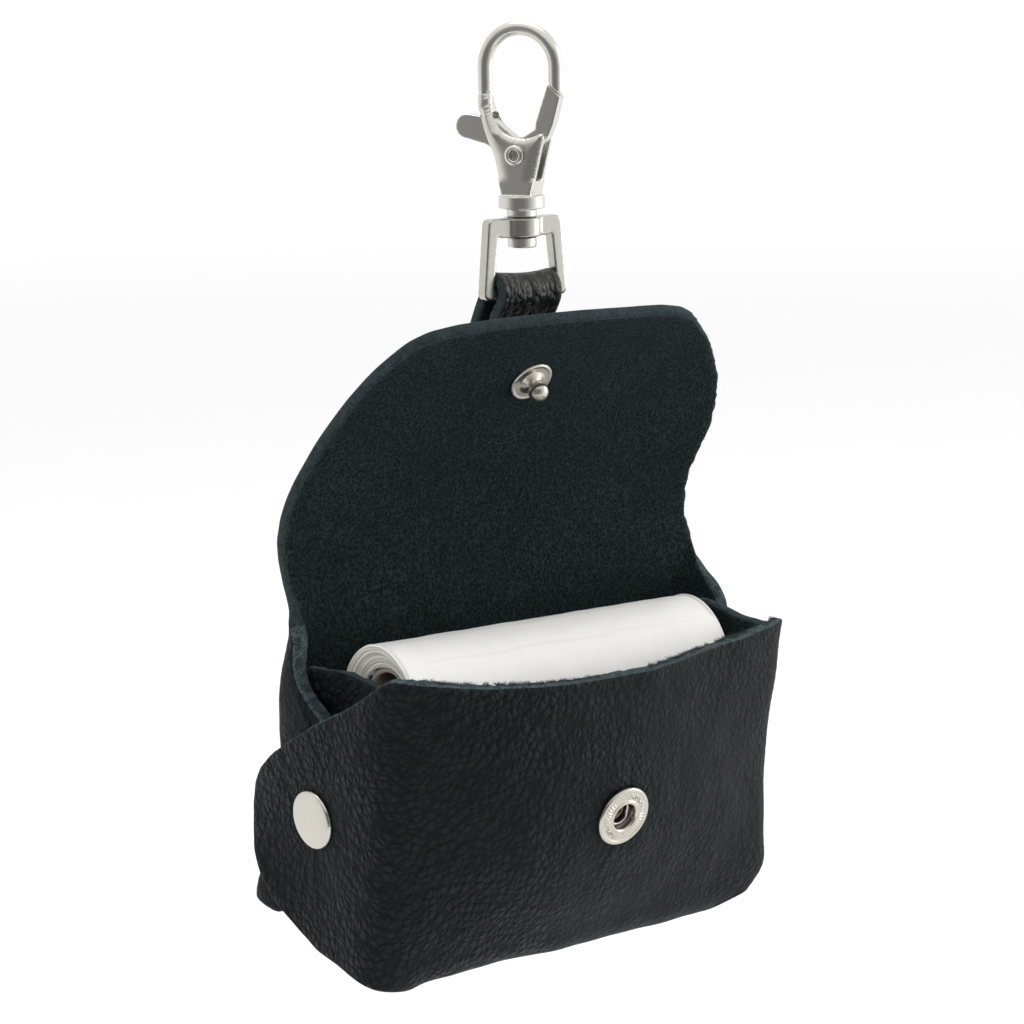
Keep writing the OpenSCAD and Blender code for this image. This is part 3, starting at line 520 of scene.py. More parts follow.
def cutEdge(name, high):  # the raw cut edge, with its fibres
    f = Finish(name, Specular_IOR_Level=.1, Sheen_Weight=.1, Sheen_Roughness=.7)
    f.skin.inputs["Sheen Tint"].default_value = (*cutSide["gleam"], 1)
    flat = f.field("flat")
    fibre = f.noise(f.stretch(flat, (2.4, 2.4, 1.2)), 1.6, 4.0, .7)
    clump = f.noise(flat, .9, 3.0)
    light = f.fit(fibre * .75 + clump * .35, .40, .74)
    return f.give(Base_Color=f.tint(light, cutSide["low"], high), Roughness=.82 + fibre * .15,
                  Normal=f.bump(fibre + clump * .4, cutSide["deep"]))


nickels = {"cast": {"tone": (.70, .69, .64), "rough": .22, "grit": .06, "dull": .35},
           "eye": {"tone": (.54, .53, .485), "rough": .22, "grit": .06, "dull": .45},
           "cap": {"tone": (.60, .578, .525), "rough": .12, "grit": .04, "dull": .3},
           "snap": {"tone": (.60, .57, .50), "rough": .22, "grit": .06, "dull": .45},
           "inner": {"tone": (.50, .455, .375), "rough": .28, "grit": .08, "dull": .5},
           "shade": .72, "deep": .012}


def nickelPlate(part):
    own = nickels[part]
    f = Finish(part + "Nickel", Metallic=1.0)
    spot = f.space()
    cloud = f.noise(spot, 260.0, 3.0)
    fine = f.noise(f.stretch(spot, (1, 1, .25)), 5200.0, 2.0)
    marks = f.noise(f.stretch(f.wander(spot, 300.0, .002), (1, 1, 9)), 900.0, 2.0)
    scuff = f.fit(marks, .60, .74) * f.fit(cloud, .42, .62)
    shade = tuple(nickels["shade"] * c for c in own["tone"])
    return f.give(Base_Color=f.tint(cloud * own["dull"] + scuff * .3, own["tone"], shade),
                  Roughness=own["rough"] + cloud * .08 + fine * own["grit"] + scuff * .14,
                  Normal=f.bump(fine * .6 + cloud * .8 + marks * .5, nickels["deep"], .6))


steel = {"low": (.50, .50, .49), "high": (.66, .65, .63), "deep": .01}


def springSteel():
    f = Finish("springSteel", Metallic=1.0)
    lay = f.noise(f.stretch(f.space(), (1, 1, 4)), 3000.0, 2.0)
    return f.give(Base_Color=f.tint(lay, steel["low"], steel["high"]), Roughness=.26 + lay * .16,
                  Normal=f.bump(lay, steel["deep"], .5))


# line is the painted shade in the film's creases
filmTone = {"face": (.90, .892, .865), "end": (.56, .535, .465), "line": (.7, .7, .68), "deep": .14}


def bagFilm():  # thin white film wound tight; its layers show grey at the ends
    f = Finish("bagFilm", Specular_IOR_Level=.4, Sheen_Weight=.1)
    wound = f.field("wound")  # angle, distance along the roll, radius
    end = f.field("endFace", "Fac")
    crumple = f.noise(f.wander(f.stretch(wound, (.12, .16, 1)), .9, 1.5), 1.0, 4.0)
    crease = f.cells(f.wander(f.stretch(wound, (.055, .085, .1)), 1.6, .35))
    line = f.fit(crease, .045, .0)
    layers = f.noise(f.stretch(wound, (.02, .02, 7.0)), 1.0, 3.0, .7)
    layersWide = f.noise(f.stretch(wound, (.015, .0, 1.5)), 1.0, 2.0)
    shade = end * f.fit(layers * .6 + layersWide * .5, .36, .68)
    colour = f.tint(shade, filmTone["face"], filmTone["end"])
    # painted shade: the crease lines are tinted a little greyer
    colour = f.tint(line * (1 - end) * .07, colour, filmTone["line"])
    height = crumple * .5 - line * .12 * (1 - end) + layers * end * .6
    return f.give(Base_Color=colour, Roughness=.42 + crumple * .2 + end * .2,
                  Normal=f.bump(height, filmTone["deep"], .8))


cardTone = {"low": (.34, .30, .25), "high": (.52, .47, .40), "seam": (.2, .17, .14), "deep": .1}


def cardTube():
    f = Finish("cardTube", Specular_IOR_Level=.2)
    wound = f.field("wound")
    fibre = f.noise(f.stretch(wound, (.3, 1.6, 2)), 1.0, 4.0, .65)
    seam = f.fit(f.cells(f.stretch(wound, (.02, .05, .0))), .03, .0)
    colour = f.tint(fibre, cardTone["low"], cardTone["high"])
    colour = f.tint(seam * .5, colour, cardTone["seam"])
    return f.give(Base_Color=colour, Roughness=.85 + fibre * .1,
                  Normal=f.bump(fibre - seam * .6, cardTone["deep"], .8))


looks = {"grain": grainLeather("grainLeather", grain), "strap": grainLeather("strapGrain", strapGrain),
         "flesh": fleshLeather(),
         "rim": cutEdge("rimEdge", cutSide["rim"]), "edge": cutEdge("cutEdge", cutSide["dim"]),
         **{part: nickelPlate(part) for part in ("cast", "eye", "cap", "snap", "inner")},
         "steel": springSteel(), "film": bagFilm(), "card": cardTube()}
leather = [looks["grain"], looks["flesh"], looks["edge"]]
rimmed = [looks["grain"], looks["flesh"], looks["rim"]]
print("finishes made")

# the pouch leans by its tilt and hangs from the bar of the swivel eye, which lies behind and above its middle
hang = {"tilt": 11.4, "barHeight": 99.0, "barBack": 14.5, "barDrop": 39.23}
tilt = math.radians(hang["tilt"])
drape = {"backShift": 1.3, "lowShift": 1.2, "lowBelow": 30, "sag": 2.6, "sagLeft": 1.9,
         "sagAt": (-36, -17), "sagReach": (14, 13),
         "fades": ((-16, 28), (-13, 31), (-16, 30)),  # start and run of the low shift, the sag and the back shift
         "pushes": [  # centre, reach, shift
             ((-40, 12, 39), (12, 14, 14), (-2.7, 0, 0)), ((-41, 14, 18), (8, 10, 10), (-.6, 0, 0)),
             ((-39, 14, 3), (9, 10, 8), (-3.5, .8, 0)), ((40, 6, 46), (12, 12, 9), (3.6, 0, 0)),
             ((40, 14, 4), (10, 10, 10), (1.8, .8, 0)), ((37, -15, 12), (10, 12, 10), (.7, 0, 0)),
             ((38, -15, 6), (9, 14, 4.5), (1.4, 0, 0)), ((38, -15, 4), (16, 14, 16), (1.3, 0, 0)),
             ((40, -15, -2), (11, 14, 7.5), (-3.6, 0, 1.9)), ((32, -17, 0), (5, 10, 8), (0, 0, 1.0)),
             ((-28.5, -17, 0), (5, 10, 8), (0, 0, .95)), ((-38.5, -9, 1), (5, 6, 6), (0, 0, .85))]}


def hung(x, y, z):  # from the upright pouch to where it hangs, in metres
    y, z = y - hang["barBack"], z - hang["barHeight"]
    return np.stack([x, y * math.cos(tilt) - z * math.sin(tilt),
                     -hang["barDrop"] + y * math.sin(tilt) + z * math.cos(tilt)], -1) / 1000


def onPouch(p):  # the leather slumps a little as it hangs
    x, y, z = p[..., 0], p[..., 1], p[..., 2]
    ahead, near, behind = (ease((y - start) / run) for start, run in drape["fades"])
    low = np.clip(1 - z / drape["lowBelow"], 0, 1)
    x2 = x + drape["backShift"] * behind + drape["lowShift"] * low * (1 - ahead)
    (sagX, sagY), (reachX, reachY) = drape["sagAt"], drape["sagReach"]
    sag = drape["sagLeft"] * np.exp(-((x - sagX) / reachX) ** 2)
    sag = (drape["sag"] * (1 - near) + sag * np.exp(-((y - sagY) / reachY) ** 2)) * low ** 1.5
    y2, z2 = y, z - sag
    for centre, reach, shift in drape["pushes"]:
        pull = np.exp(-sum(((q - c) / r) ** 2 for q, c, r in zip((x, y, z), centre, reach)))
        x2, y2, z2 = x2 + pull * shift[0], y2 + pull * shift[1], z2 + pull * shift[2]
    return hung(x2, y2, z2)


# front, bottom fold and front ears are one piece of leather; an ear's points are length behind the corner, height
front = {"width": 75, "depth": 31, "height": 50, "dip": .8, "fold": 5.0, "under": 3.0, "foldEnds": (23, 17),
         "peak": -6.0, "flare": 3.5, "rightBend": 2.4, "leftBend": 4.2,
         "bulge": [(0, 1.0), (5, 2.4), (12, 6.0), (20, 8.6), (27, 9.2), (36, 8.7), (44, 7.9), (50, 7.4)],
         "ear": [(5.0, 46.6), (8, 44.2), (11.7, 41.2), (17.8, 36.4), (23.1, 31.7), (27.4, 27.8), (30.6, 24.2),
                 (32.0, 21.2), (32.0, 17.6), (30.9, 14.0), (29.3, 11.0), (26.1, 8.0), (22.3, 5.2), (17.4, 2.7),
                 (13.5, 1.75)]}
sideLean = math.atan(front["flare"] / front["depth"])
halfWide, backY = front["width"] / 2, front["depth"] / 2
leatherCut = {"thick": 2.0, "bevel": .38, "pitch": 1.05, "corner": .45, "fuzz": 1.0, "looks": leather}
earRun = 40.0
frontY = -front["depth"] / 2
frontPlan = [(-halfWide - earRun * math.sin(sideLean), frontY + earRun * math.cos(sideLean)), (-halfWide, frontY),
             (halfWide, frontY), (halfWide + earRun * math.sin(sideLean), frontY + earRun * math.cos(sideLean))]
frontLine, frontBroad = Line(frontPlan, front["rightBend"]), Line(frontPlan, front["leftBend"])
frontHalf = frontLine.length / 2
earStart = frontHalf - earRun  # the flat place of the front corner
bulgeZ = np.arange(-1, 60, .5)
bulgeOut = np.interp(bulgeZ, *zip(*front["bulge"]))
bulgeOut = np.convolve(np.pad(bulgeOut, 9, "edge"), bellKernel(1.4, .5)[1], "same")[9:-9]


def bowShape(x):  # how much of the bulge is left, from the peak out to the corners
    peak = front["peak"]
    q = np.where(x > peak, (x - peak) / (halfWide - peak), (peak - x) / (halfWide + peak))
    return (1 - np.clip(np.abs(q), 0, 1) ** 2) ** 1.35


def fadeOf(u):  # 0 where the bottom folds under, 1 where the side ears are cut straight
    start, run = front["foldEnds"]
    return ease((np.abs(u) - start) / run)


def runIn(u):  # how far the front runs in under the bottom
    return front["under"] * (1 - float(fadeOf(u))) ** 2


def foldAway(down, k, radius):  # how far in and down a sheet has gone, at a length below the fold's start
    bend = (1 - k) / radius + 1e-5
    turn = np.minimum(bend * down, math.pi / 2)
    inward = (1 - np.cos(turn)) / bend + np.maximum(down - math.pi / 2 / bend, 0)
    return inward, np.sin(turn) / bend


def pinch(u, w, u0, w0, wide, deep, seed):  # leather drawn in under a rivet, with short puckers round it
    dx, dw = u - u0, w - w0
    r = np.hypot(dx, dw)
    turn = np.arctan2(dw, dx)
    pucker = np.sin(7 * turn + seed) * .5 + np.sin(11 * turn + 2 * seed) * .35
    return -deep * np.exp(-(r / wide) ** 2) + .13 * pucker * np.exp(-((r - wide * 1.35) / (wide * .55)) ** 2)


rivets = {"along": 16.5, "height": 21.5, "wide": 9.4, "pinch": 5.2, "frontPinch": .45, "backPinch": .3}
socketPlace = {"x": 1.2, "height": 26.0, "pinch": 5.6, "deep": .4, "hole": 2.7}


def frontLocal(u, w):  # the left corner bends more broadly than the right
    broadStart = frontBroad.length / 2 - earRun
    u2 = np.where(np.abs(u) < earStart, u * broadStart / earStart, np.sign(u) * (np.abs(u) - earStart + broadStart))
    u2, left = u2 + frontBroad.length / 2, ease(-u / 20)[..., None]
    p = frontLine.at(u + frontHalf) * (1 - left) + frontBroad.at(u2) * left
    d = frontLine.heading(u + frontHalf) * (1 - left) + frontBroad.heading(u2) * left
    k = fadeOf(u)
    inward, fall = foldAway(np.maximum(front["fold"] - w, 0), k, front["fold"])
    z = np.where(w >= front["fold"], w, front["fold"] - fall)
    bow = np.interp(z, bulgeZ, bulgeOut) * bowShape(p[..., 0])
    v = np.abs(u) - earStart
    onEar = ease(v / 6)
    out = .22 * ripple(u, w, 3, 16) + .10 * ripple(u, w, 4, 6)
    out = out * (1 - onEar) + onEar * (.12 * ripple(u, w, 8, 11) + .5 * ease((v - 22) / 12) * ripple(u, w, 9, 20))
    for s in (-1, 1):
        out = out + pinch(u, w, s * (earStart + rivets["along"]), rivets["height"], rivets["pinch"],
                          rivets["frontPinch"], 1.3 * s)
    out = out + pinch(u, w, socketPlace["x"], socketPlace["height"], socketPlace["pinch"], socketPlace["deep"], .7)
    inward = inward - out
    x, y = p[..., 0] - d[..., 1] * inward, p[..., 1] + d[..., 0] * inward - bow
    return np.stack([x, y, z], -1)


def frontAt(u, w):
    return onPouch(frontLocal(u, w))


def lowest(u, clear, radius):  # flat length at which a fold reaches the height that its cut edge keeps
    k = float(fadeOf(u))
    bend = (1 - k) / radius + 1e-5
    turn = math.asin(min(1, (radius - clear * k) * bend))
    return radius - turn / bend - runIn(u)


def frontEdge():
    right = []
    for u in np.arange(0, earStart + 1, 1.0):
        x = float(frontLine.at(np.array(u + frontHalf))[0])
        dip = front["dip"] * (1 - min(1, abs(x) / halfWide) ** 2)
        right.append((u, front["height"] - dip + .05 * float(ripple(u, 0, 5, 14))))
    right.append((earStart + 2.2, front["height"] - 1.2))
    right += [(earStart + v, z + .10 * float(ripple(v, 0, 6, 9))) for v, z in front["ear"]]
    for u in np.arange(earStart + 12, 0, -1.0):
        right.append((u, lowest(u, 1.7, front["fold"])))
    left = []
    for u, w in right[::-1]:
        reach = 1.3 * math.exp(-((u - earStart - 2.5) / 3.5) ** 2) * (w > 40)
        uneven = .12 * float(ripple(u, 9, 7, 14)) * (abs(u) < earStart + 4 and w > 30)
        left.append((-u - reach, w + uneven))
    return right + left[:-1]


frontPiece = cutLeather("frontLeather", frontEdge(), frontAt, dict(leatherCut, looks=rimmed),
                        [((socketPlace["x"], socketPlace["height"]), socketPlace["hole"])], 11)
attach(frontPiece, "pouch")
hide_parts("pouch_front", "front_ear_left", "front_ear_right")

# loose fibres along the cut edges; where the stud passes they are worn short and sit deeper
fuzz = {"wide": .036, "reach": .5, "patch": 2.2, "inset": .3, "worn": .9, "sunk": .35}


def fibres(name, at, path, count, depths, seed, mat, body="pouch", reach=1.0, calm=0):
    # the path runs with its free side on the right; calm is how far from the middle the worn stretch reaches
    dice = np.random.default_rng(seed)
    line = Line(path, .3)
    s = np.sort(dice.uniform(0, line.length, count))
    s = s[ripple(s, 0, seed, fuzz["patch"]) + dice.normal(0, .5, count) > -.15]
    spot, along = line.at(s), line.heading(s)
    free = np.stack([along[:, 1], -along[:, 0]], 1)
    n = normalOf(at, spot[:, 0], spot[:, 1])
    tip = spot + free * .4
    up = at(tip[:, 0], tip[:, 1]) - at(spot[:, 0], spot[:, 1])
    up /= np.linalg.norm(up, axis=1, keepdims=True)
    across = np.cross(up, n)
    size = len(s)
    base = spot - free * dice.uniform(.0, fuzz["inset"], size)[:, None]
    worn = ease((calm + 1 - np.abs(spot[:, :1])) / 2) if calm else 0
    root = at(base[:, 0], base[:, 1]) - n * dice.uniform(*depths, size)[:, None] * (1 - fuzz["sunk"] * worn) / 1000
    way = up * dice.uniform(.7, 1.3, size)[:, None] - n * dice.uniform(-.2, .4, size)[:, None]
    way = way + across * dice.normal(0, .35, size)[:, None]
    way /= np.linalg.norm(way, axis=1, keepdims=True)
    long = fuzz["reach"] * reach * dice.uniform(.25, 1.0, size)[:, None] ** 1.3 / 1000
    long = long * (1 - fuzz["worn"] * worn)
    curl = (across * dice.normal(0, .3, size)[:, None] - n * dice.normal(.1, .3, size)[:, None]) * long
    rings = [(root, 1.0), (root + way * long * .55 + curl * .4, .75), (root + way * long + curl * 1.4, .12)]
    side = np.cross(way, n)
    verts = []
    for centre, wide in rings:
        for k in range(3):
            a = 2 * math.pi * k / 3
            spoke = side * math.cos(a) + np.cross(way, side) * math.sin(a)
            verts.append(centre + spoke * wide * fuzz["wide"] / 1000)
    verts = np.stack(verts, 1).reshape(-1, 3)
    faces = []
    for i in range(0, 9 * size, 9):
        for r in (0, 3):
            faces += [(i + r + k, i + r + (k + 1) % 3, i + r + 3 + (k + 1) % 3, i + r + 3 + k) for k in range(3)]
        faces += [(i + 2, i + 1, i), (i + 6, i + 7, i + 8)]
    flat = np.repeat(np.c_[spot, np.zeros(size)], 9, axis=0) + dice.normal(0, .3, (9 * size, 3))
    made = meshPiece(name, verts, faces, [mat], None, {"flat": flat, "rim": np.zeros(9 * size)})
    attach(made, body)
    print("fibres", name, size)


rimPath = [(u, front["height"] - front["dip"] * (1 - (u / halfWide) ** 2)) for u in np.arange(36.5, -36.6, -2.0)]
fibres("rimFibres", frontAt, rimPath, 6500, (.9, 2.0), 71, looks["rim"], reach=1.1, calm=5)
earPath = [(-(earStart + v), z) for v, z in front["ear"]]
fibres("earFibresLeft", frontAt, earPath, 900, (.3, 2.0), 72, looks["rim"], reach=.7)
fibres("earFibresRight", frontAt, [(-u, w) for u, w in earPath[::-1]], 900, (.3, 2.0), 73, looks["rim"], reach=.7)

# bottom, back, back ears and flap are one piece of leather that bends at the flap's hinge; the flap's outline is
# half width, height above the hinge, and the ears' points are as the front's
back = {"hinge": 49.5, "fold": 6.0, "earInset": 2.15, "bowRadius": 50.0, "lean": -18.6, "axis": (-32.89, 65.45),
        "reach": 24.0, "bend": 3.7, "lip": .9,
        "flapLeft": [(0, 51.9), (5, 51.7), (10.5, 51.2), (17.3, 50.5), (22.4, 49.4), (25.4, 47.4), (28.2, 43.4),
                     (30.5, 39.4), (32.4, 35.6), (34, 31.9), (35.7, 28.5), (37.1, 25.1), (38.5, 21.8), (39.7, 18.6),
                     (40.5, 15.5), (40.6, 12.1), (39.9, 8.7), (38.8, 5.3), (38.3, 3), (37.9, .4)],
        "flapRight": [(5, 51.8), (12, 51.2), (20.1, 50.7), (24.8, 49.5), (27.8, 47.7), (33.3, 42.1), (36.8, 37),
                      (39.2, 32.5), (40.2, 28.1), (40.4, 24.2), (39.7, 20.6), (38.3, 16.9), (37.2, 13.4), (37, 9.7),
                      (37, 6.1), (37.5, 2.8), (38.3, .4)],
        "earLeft": [(27.0, 46.6), (25.8, 43.4), (24.2, 40.8), (20.4, 38.0), (16.5, 35.5), (13.3, 31.6), (11.2, 26.5),
                    (11, 21)],
        "earRight": [(27.0, 47.2), (24.6, 46.2), (21.5, 44.2), (18.6, 41.0), (15.8, 36.6), (13.0, 31.0), (11.2, 26.0),
                     (11, 21)],
        "earFoot": [(11, 17.5), (12.2, 14.4), (14.2, 12.4), (18.5, 7.2), (23.0, 2.4)]}
flapAxis, fold = back["axis"], back["fold"]
a0 = math.radians(back["lean"])
arcRadius = back["bowRadius"] + 1
section = [(-back["reach"], 0), (backY - fold, 0)]
section += [(backY - fold + fold * math.sin(a), fold - fold * math.cos(a)) for a in np.linspace(.1, math.pi / 2, 12)]
section += [(backY, 10), (backY, 47.2)]
section += [(flapAxis[0] + arcRadius * math.cos(a0 + s / back["bowRadius"]),
             flapAxis[1] + arcRadius * math.sin(a0 + s / back["bowRadius"])) for s in np.arange(2.2, 60, 1.5)]
sectionLine = Line(section, .8)
hingeRun = sectionLine.nearest((15.6, back["hinge"]))
foldRun = sectionLine.nearest((backY, fold)) - hingeRun
backCorner = (halfWide + front["depth"] * math.tan(sideLean) - back["earInset"] / math.cos(sideLean), backY)
backLine = Line([(backCorner[0] - earRun * math.sin(sideLean), backY - earRun * math.cos(sideLean)), backCorner,
                 (-backCorner[0], backY),
                 (-backCorner[0] + earRun * math.sin(sideLean), backY - earRun * math.cos(sideLean))], back["bend"])
backHalf = backLine.length / 2
sideLength = front["depth"] / math.cos(sideLean)


def backFlat(v):  # flat place of a point v behind the front corner
    return backHalf - earRun + (sideLength - v)


def backLocal(u, w):  # u runs to the left, w up from the hinge line
    q = sectionLine.at(np.maximum(w, foldRun) + hingeRun)
    k = fadeOf(u)
    inward, fall = foldAway(np.maximum(foldRun - w, 0), k, fold)
    p, d = backLine.at(u + backHalf), backLine.heading(u + backHalf)
    wrap = 1 - ease((w + 3.5) / 9)
    forward = (backY - p[..., 1]) * wrap
    x = p[..., 0] * wrap - u * (1 - wrap)
    y = q[..., 0] - forward
    z = np.where(w >= foldRun, q[..., 1], fold - fall)
    bulge = .25 * ripple(u, w, 21, 22) + .08 * ripple(u, w, 22, 7)
    onFlap = ease((w - 4) / 12)
    lift = onFlap * (.45 * ripple(u, w * .6, 23, 38) - .9 * (np.abs(u) / 40) ** 4)
    level = np.where(w > foldRun, bulge * .6 + lift, 0)
    side = ease((np.abs(u) - 30) / 6) * wrap
    for s in (-1, 1):
        level = level + side * pinch(u, w + back["hinge"], s * backFlat(rivets["along"]), rivets["height"],
                                     rivets["pinch"], rivets["backPinch"], 2.1 * s)
    inward = inward - level
    nx, ny = d[..., 1] * wrap, -d[..., 0] * wrap + (1 - wrap)
    return np.stack([x - nx * inward, y - ny * inward, z], -1)


def backAt(u, w):
    return onPouch(backLocal(u, w))


def backEdge():
    left, right = [], []
    for side, edge, name in ((1, left, "Left"), (-1, right, "Right")):
        edge += [(side * u, w + .12 * float(ripple(w, side, 31, 9))) for u, w in back["flap" + name]]
        edge.append((side * 39.6, -1.35))
        edge += [(side * backFlat(v), z - back["hinge"]) for v, z in back["ear" + name] + back["earFoot"]]
        for u in np.arange(backFlat(23.0) - 1, 31.5, -1.0):
            edge.append((side * u, lowest(u, 2.0, fold) + runIn(u) - fold + foldRun))
        edge.append((side * 31.6, foldRun - 7.5))
        edge.append((side * 31.2, foldRun - 12))
        for u in np.arange(29.0, 0, -1.0):
            bow = float(np.interp(0, bulgeZ, bulgeOut)) * float(bowShape(-side * u))
            y = frontY - bow + front["fold"] + runIn(u)
            edge.append((side * u, foldRun - (math.pi / 2 * fold) - (backY - fold - y)))
    return left + right[::-1]


def earLip(u, w):  # the left ear's top edge is swollen and fluffy
    return back["lip"] * ease((u - 36.5) / 2.5) * ease((1.0 - w) / 4) * ease((w + 26) / 6)


backPiece = cutLeather("backLeather", backEdge(), backAt, {**leatherCut, "lip": earLip}, (), 12)
backPiece.data.materials.append(looks["rim"])
marks = backPiece.data.attributes["flat"].data
for face in backPiece.data.polygons:  # the ears' cut edge is paler than the flap's
    if face.material_index == 2 and marks[face.vertices[0]].vector[1] < -1:
        face.material_index = 3
bandLeft = [(backFlat(v), z - back["hinge"]) for v, z in back["earLeft"]]
bandRight = [(-backFlat(v), z - back["hinge"]) for v, z in back["earRight"]]
fibres("bandFibresLeft", backAt, bandLeft[::-1], 2600, (.5, 2.05), 74, looks["rim"], reach=1.2)
fibres("bandFibresRight", backAt, bandRight, 1500, (.5, 2.05), 75, looks["rim"])
for name, outline, sign in (("flapFibresLeft", "flapLeft", 1), ("flapFibresRight", "flapRight", -1)):
    path = [(sign * u, w) for u, w in back[outline]]
    path = path[:-1] if sign < 0 else path[:-1][::-1]
    fibres(name, backAt, path, 1300, (.8, 2.0), 76 + sign, looks["edge"], "flap", .6)


def jointNamed(name):
    return next(joint for joint in frame["joints"] if joint["name"] == name)


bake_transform(backPiece)
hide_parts("pouch_back", "pouch_bottom", "back_ear_left", "back_ear_right", "flap")

# gussets inside the sides
gussets = {"left": {"side": -1, "along": [(5.5, 43.8), (10, 44.2), (15, 43.9), (20, 43.6), (25.5, 42.6)],
                    "front": 4.8, "rear": 26.0, "top": 43.9, "lean": [(2, .3), (10, 2.2), (18, 2.4), (26, .6)]},
           "right": {"side": 1, "along": [(1.0, 49.2), (4, 49.0), (8, 48.6), (13, 47.9), (18.5, 46.8)],
                     "front": .8, "rear": 19.5, "top": 47.5, "lean": [(1, .1), (9, 1.4), (19, 3.2)]}}
gussetCut = dict(leatherCut, thick=1.7, pitch=1.3, fuzz=1.5)


def gussetAt(g, radius=4.0):
    def at(a, w):  # a runs forward along the left side, back along the right
        v = np.where(g["side"] < 0, -a, a)
        inset = 2.2 + 2.05 * ease((v - .5) / 7)
        lean = ease((w - 24) / (g["top"] - 24)) * np.interp(v, *zip(*g["lean"]))
        lean = lean + .25 * ripple(v, w, 41 + g["side"], 13)
        down = np.maximum(radius - w, 0)
        inward, fall = foldAway(down, 0 * v, radius)
        z = np.where(w >= radius, w, radius - fall)
        u = -(inset + lean + inward)
        x = g["side"] * (halfWide + u * math.cos(sideLean) + v * math.sin(sideLean))
        y = frontY + v * math.cos(sideLean) - u * math.sin(sideLean)
        return onPouch(np.stack([x, y, z], -1))
    return at


for name, g in gussets.items():
    flip = -1 if g["side"] < 0 else 1
    edge = [(flip * v, z + .2 * float(ripple(v, 1, 42, 8))) for v, z in g["along"]]
    foot = [(g["rear"], g["along"][-1][1] - 1.2), (g["rear"], 6), (24.0, -2.3), (7.0, -2.3), (g["front"], 6),
            (g["front"], g["along"][0][1] - 1)]
    edge += [(flip * v, z) for v, z in foot]
    piece = cutLeather("gusset" + name.capitalize(), edge, gussetAt(g), gussetCut, (), 13 + flip)
    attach(piece, "pouch")
    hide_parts("side_gusset_" + name)

# the strap runs up the back and over the bar, and its two legs are riveted together; bar is its bend's radius there
strap = {"width": 11.0, "thick": 2.0, "tail": 31.0, "rivet": 37.5, "saddle": .35, "legs": (16.65, 18.68),
         "legTop": 46.6, "bar": 2.35, "start": .017, "narrow": .03}
bar = (hang["barBack"], hang["barHeight"])
loopTurn = math.atan2(bar[1] - flapAxis[1], bar[0] - flapAxis[0])
barReach = math.hypot(bar[1] - flapAxis[1], bar[0] - flapAxis[0])
legs = []
for near, far in ((arcRadius + 1.5, barReach - strap["bar"]), (arcRadius + 3.5, barReach + strap["bar"])):
    share = np.linspace(0, 1, 26)
    turn = a0 - strap["start"] + (loopTurn - a0 + strap["start"]) * share
    reach = near + (far - near) * share ** 2.3
    legs.append(np.stack([flapAxis[0] + reach * np.cos(turn), flapAxis[1] + reach * np.sin(turn)], 1))
over = [(bar[0] + strap["bar"] * math.cos(a), bar[1] + strap["bar"] * math.sin(a))
        for a in np.linspace(loopTurn + math.pi, loopTurn, 16)]
strapRoute = [(strap["legs"][0], strap["tail"]), (strap["legs"][0], strap["legTop"])]
strapRoute += list(map(tuple, legs[0][1:])) + over + list(map(tuple, legs[1][::-1][:-1]))
strapRoute += [(strap["legs"][1], strap["legTop"]), (strap["legs"][1], strap["tail"])]
strapLine = Line(strapRoute, .9, .12)


def strapAt(u, w):
    q, d = strapLine.at(w), strapLine.heading(w)
    top = np.exp(-((q[..., 1] - 101) / 4) ** 2)
    out = 1.0 - strap["saddle"] * top * (1 - (2 * u / strap["width"]) ** 2) + .07 * ripple(u, w, 52, 9)
    y, z = q[..., 0] - d[..., 1] * out, q[..., 1] + d[..., 0] * out
    return hung(u * (1 - strap["narrow"] * top), y, z)


half = strap["width"] / 2
strapCut = dict(leatherCut, thick=strap["thick"], pitch=.7, bevel=.3, corner=.3, fuzz=.8,
                looks=[looks["strap"], looks["flesh"], looks["edge"]])
strapEdge = [(-half, .3), (half, .3), (half, strapLine.length - .3), (-half, strapLine.length - .3)]
strapPiece = cutLeather("strapLeather", strapEdge, strapAt, strapCut, (), 17)
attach(strapPiece, "pouch")
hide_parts("hanging_strap")

# two-cap rivets and the press snap
capShape = {"edge": .45, "dome": .5, "round": .8, "shank": 1.3, "shoulder": 1.5}


def rivetCap(name, place, node, body):
    r, e, d = rivets["wide"] / 2, capShape["edge"], capShape["dome"]
    crown = [(r * math.sin(a), e + d * (math.cos(a) ** capShape["round"])) for a in np.linspace(1.38, 0, 18)]
    profile = [(r * .55, -.35), (r * .97, -.25), (r, .05), (r, e * .72)] + crown[1:-1] + [(0, e + d)]
    piece = spun(name, bendProfile(profile), place, looks["cap"])
    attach(piece, body)
    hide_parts(node)


def rivetPost(name, place, node, deep):  # the inner half, a post with its own cap inside the pouch
    r, e, d, shank = rivets["wide"] / 2, capShape["edge"], capShape["dome"], capShape["shank"]
    crown = [(r * math.sin(a), -deep - e - d * (math.cos(a) ** capShape["round"])) for a in np.linspace(0, 1.38, 18)]
    profile = [(0, -deep - e - d)] + crown[1:] + [(r, -deep - .1), (r * .97, -deep + .12)]
    profile += [(capShape["shoulder"], -deep + .2), (shank, -deep + .5), (shank, -.1), (0, -.05)]
    piece = spun(name, bendProfile(profile), place, looks["inner"])
    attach(piece, "pouch")
    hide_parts(node)


for side, sign in (("Left", -1), ("Right", 1)):
    spot = frameAt(frontAt, sign * (earStart + rivets["along"]), rivets["height"], .30)
    rivetCap("rivetCap" + side, spot, "side_rivet_cap_" + side.lower(), "pouch")
    rivetPost("rivetPost" + side, spot, "side_rivet_post_" + side.lower(), 6.45)
strapRun = strapLine.length - (strap["rivet"] - strap["tail"])
spot = frameAt(strapAt, 0, strapRun, .05)
rivetCap("strapRivet", spot, "strap_rivet_cap", "pouch")
rivetPost("strapPost", spot, "strap_rivet_post", 6.2)

snap = {"wide": 9.8, "hole": 4.2, "marks": 44, "raised": .12, "soft": .12, "inner": (3.0, 3.3), "outer": (3.95, 3.6)}


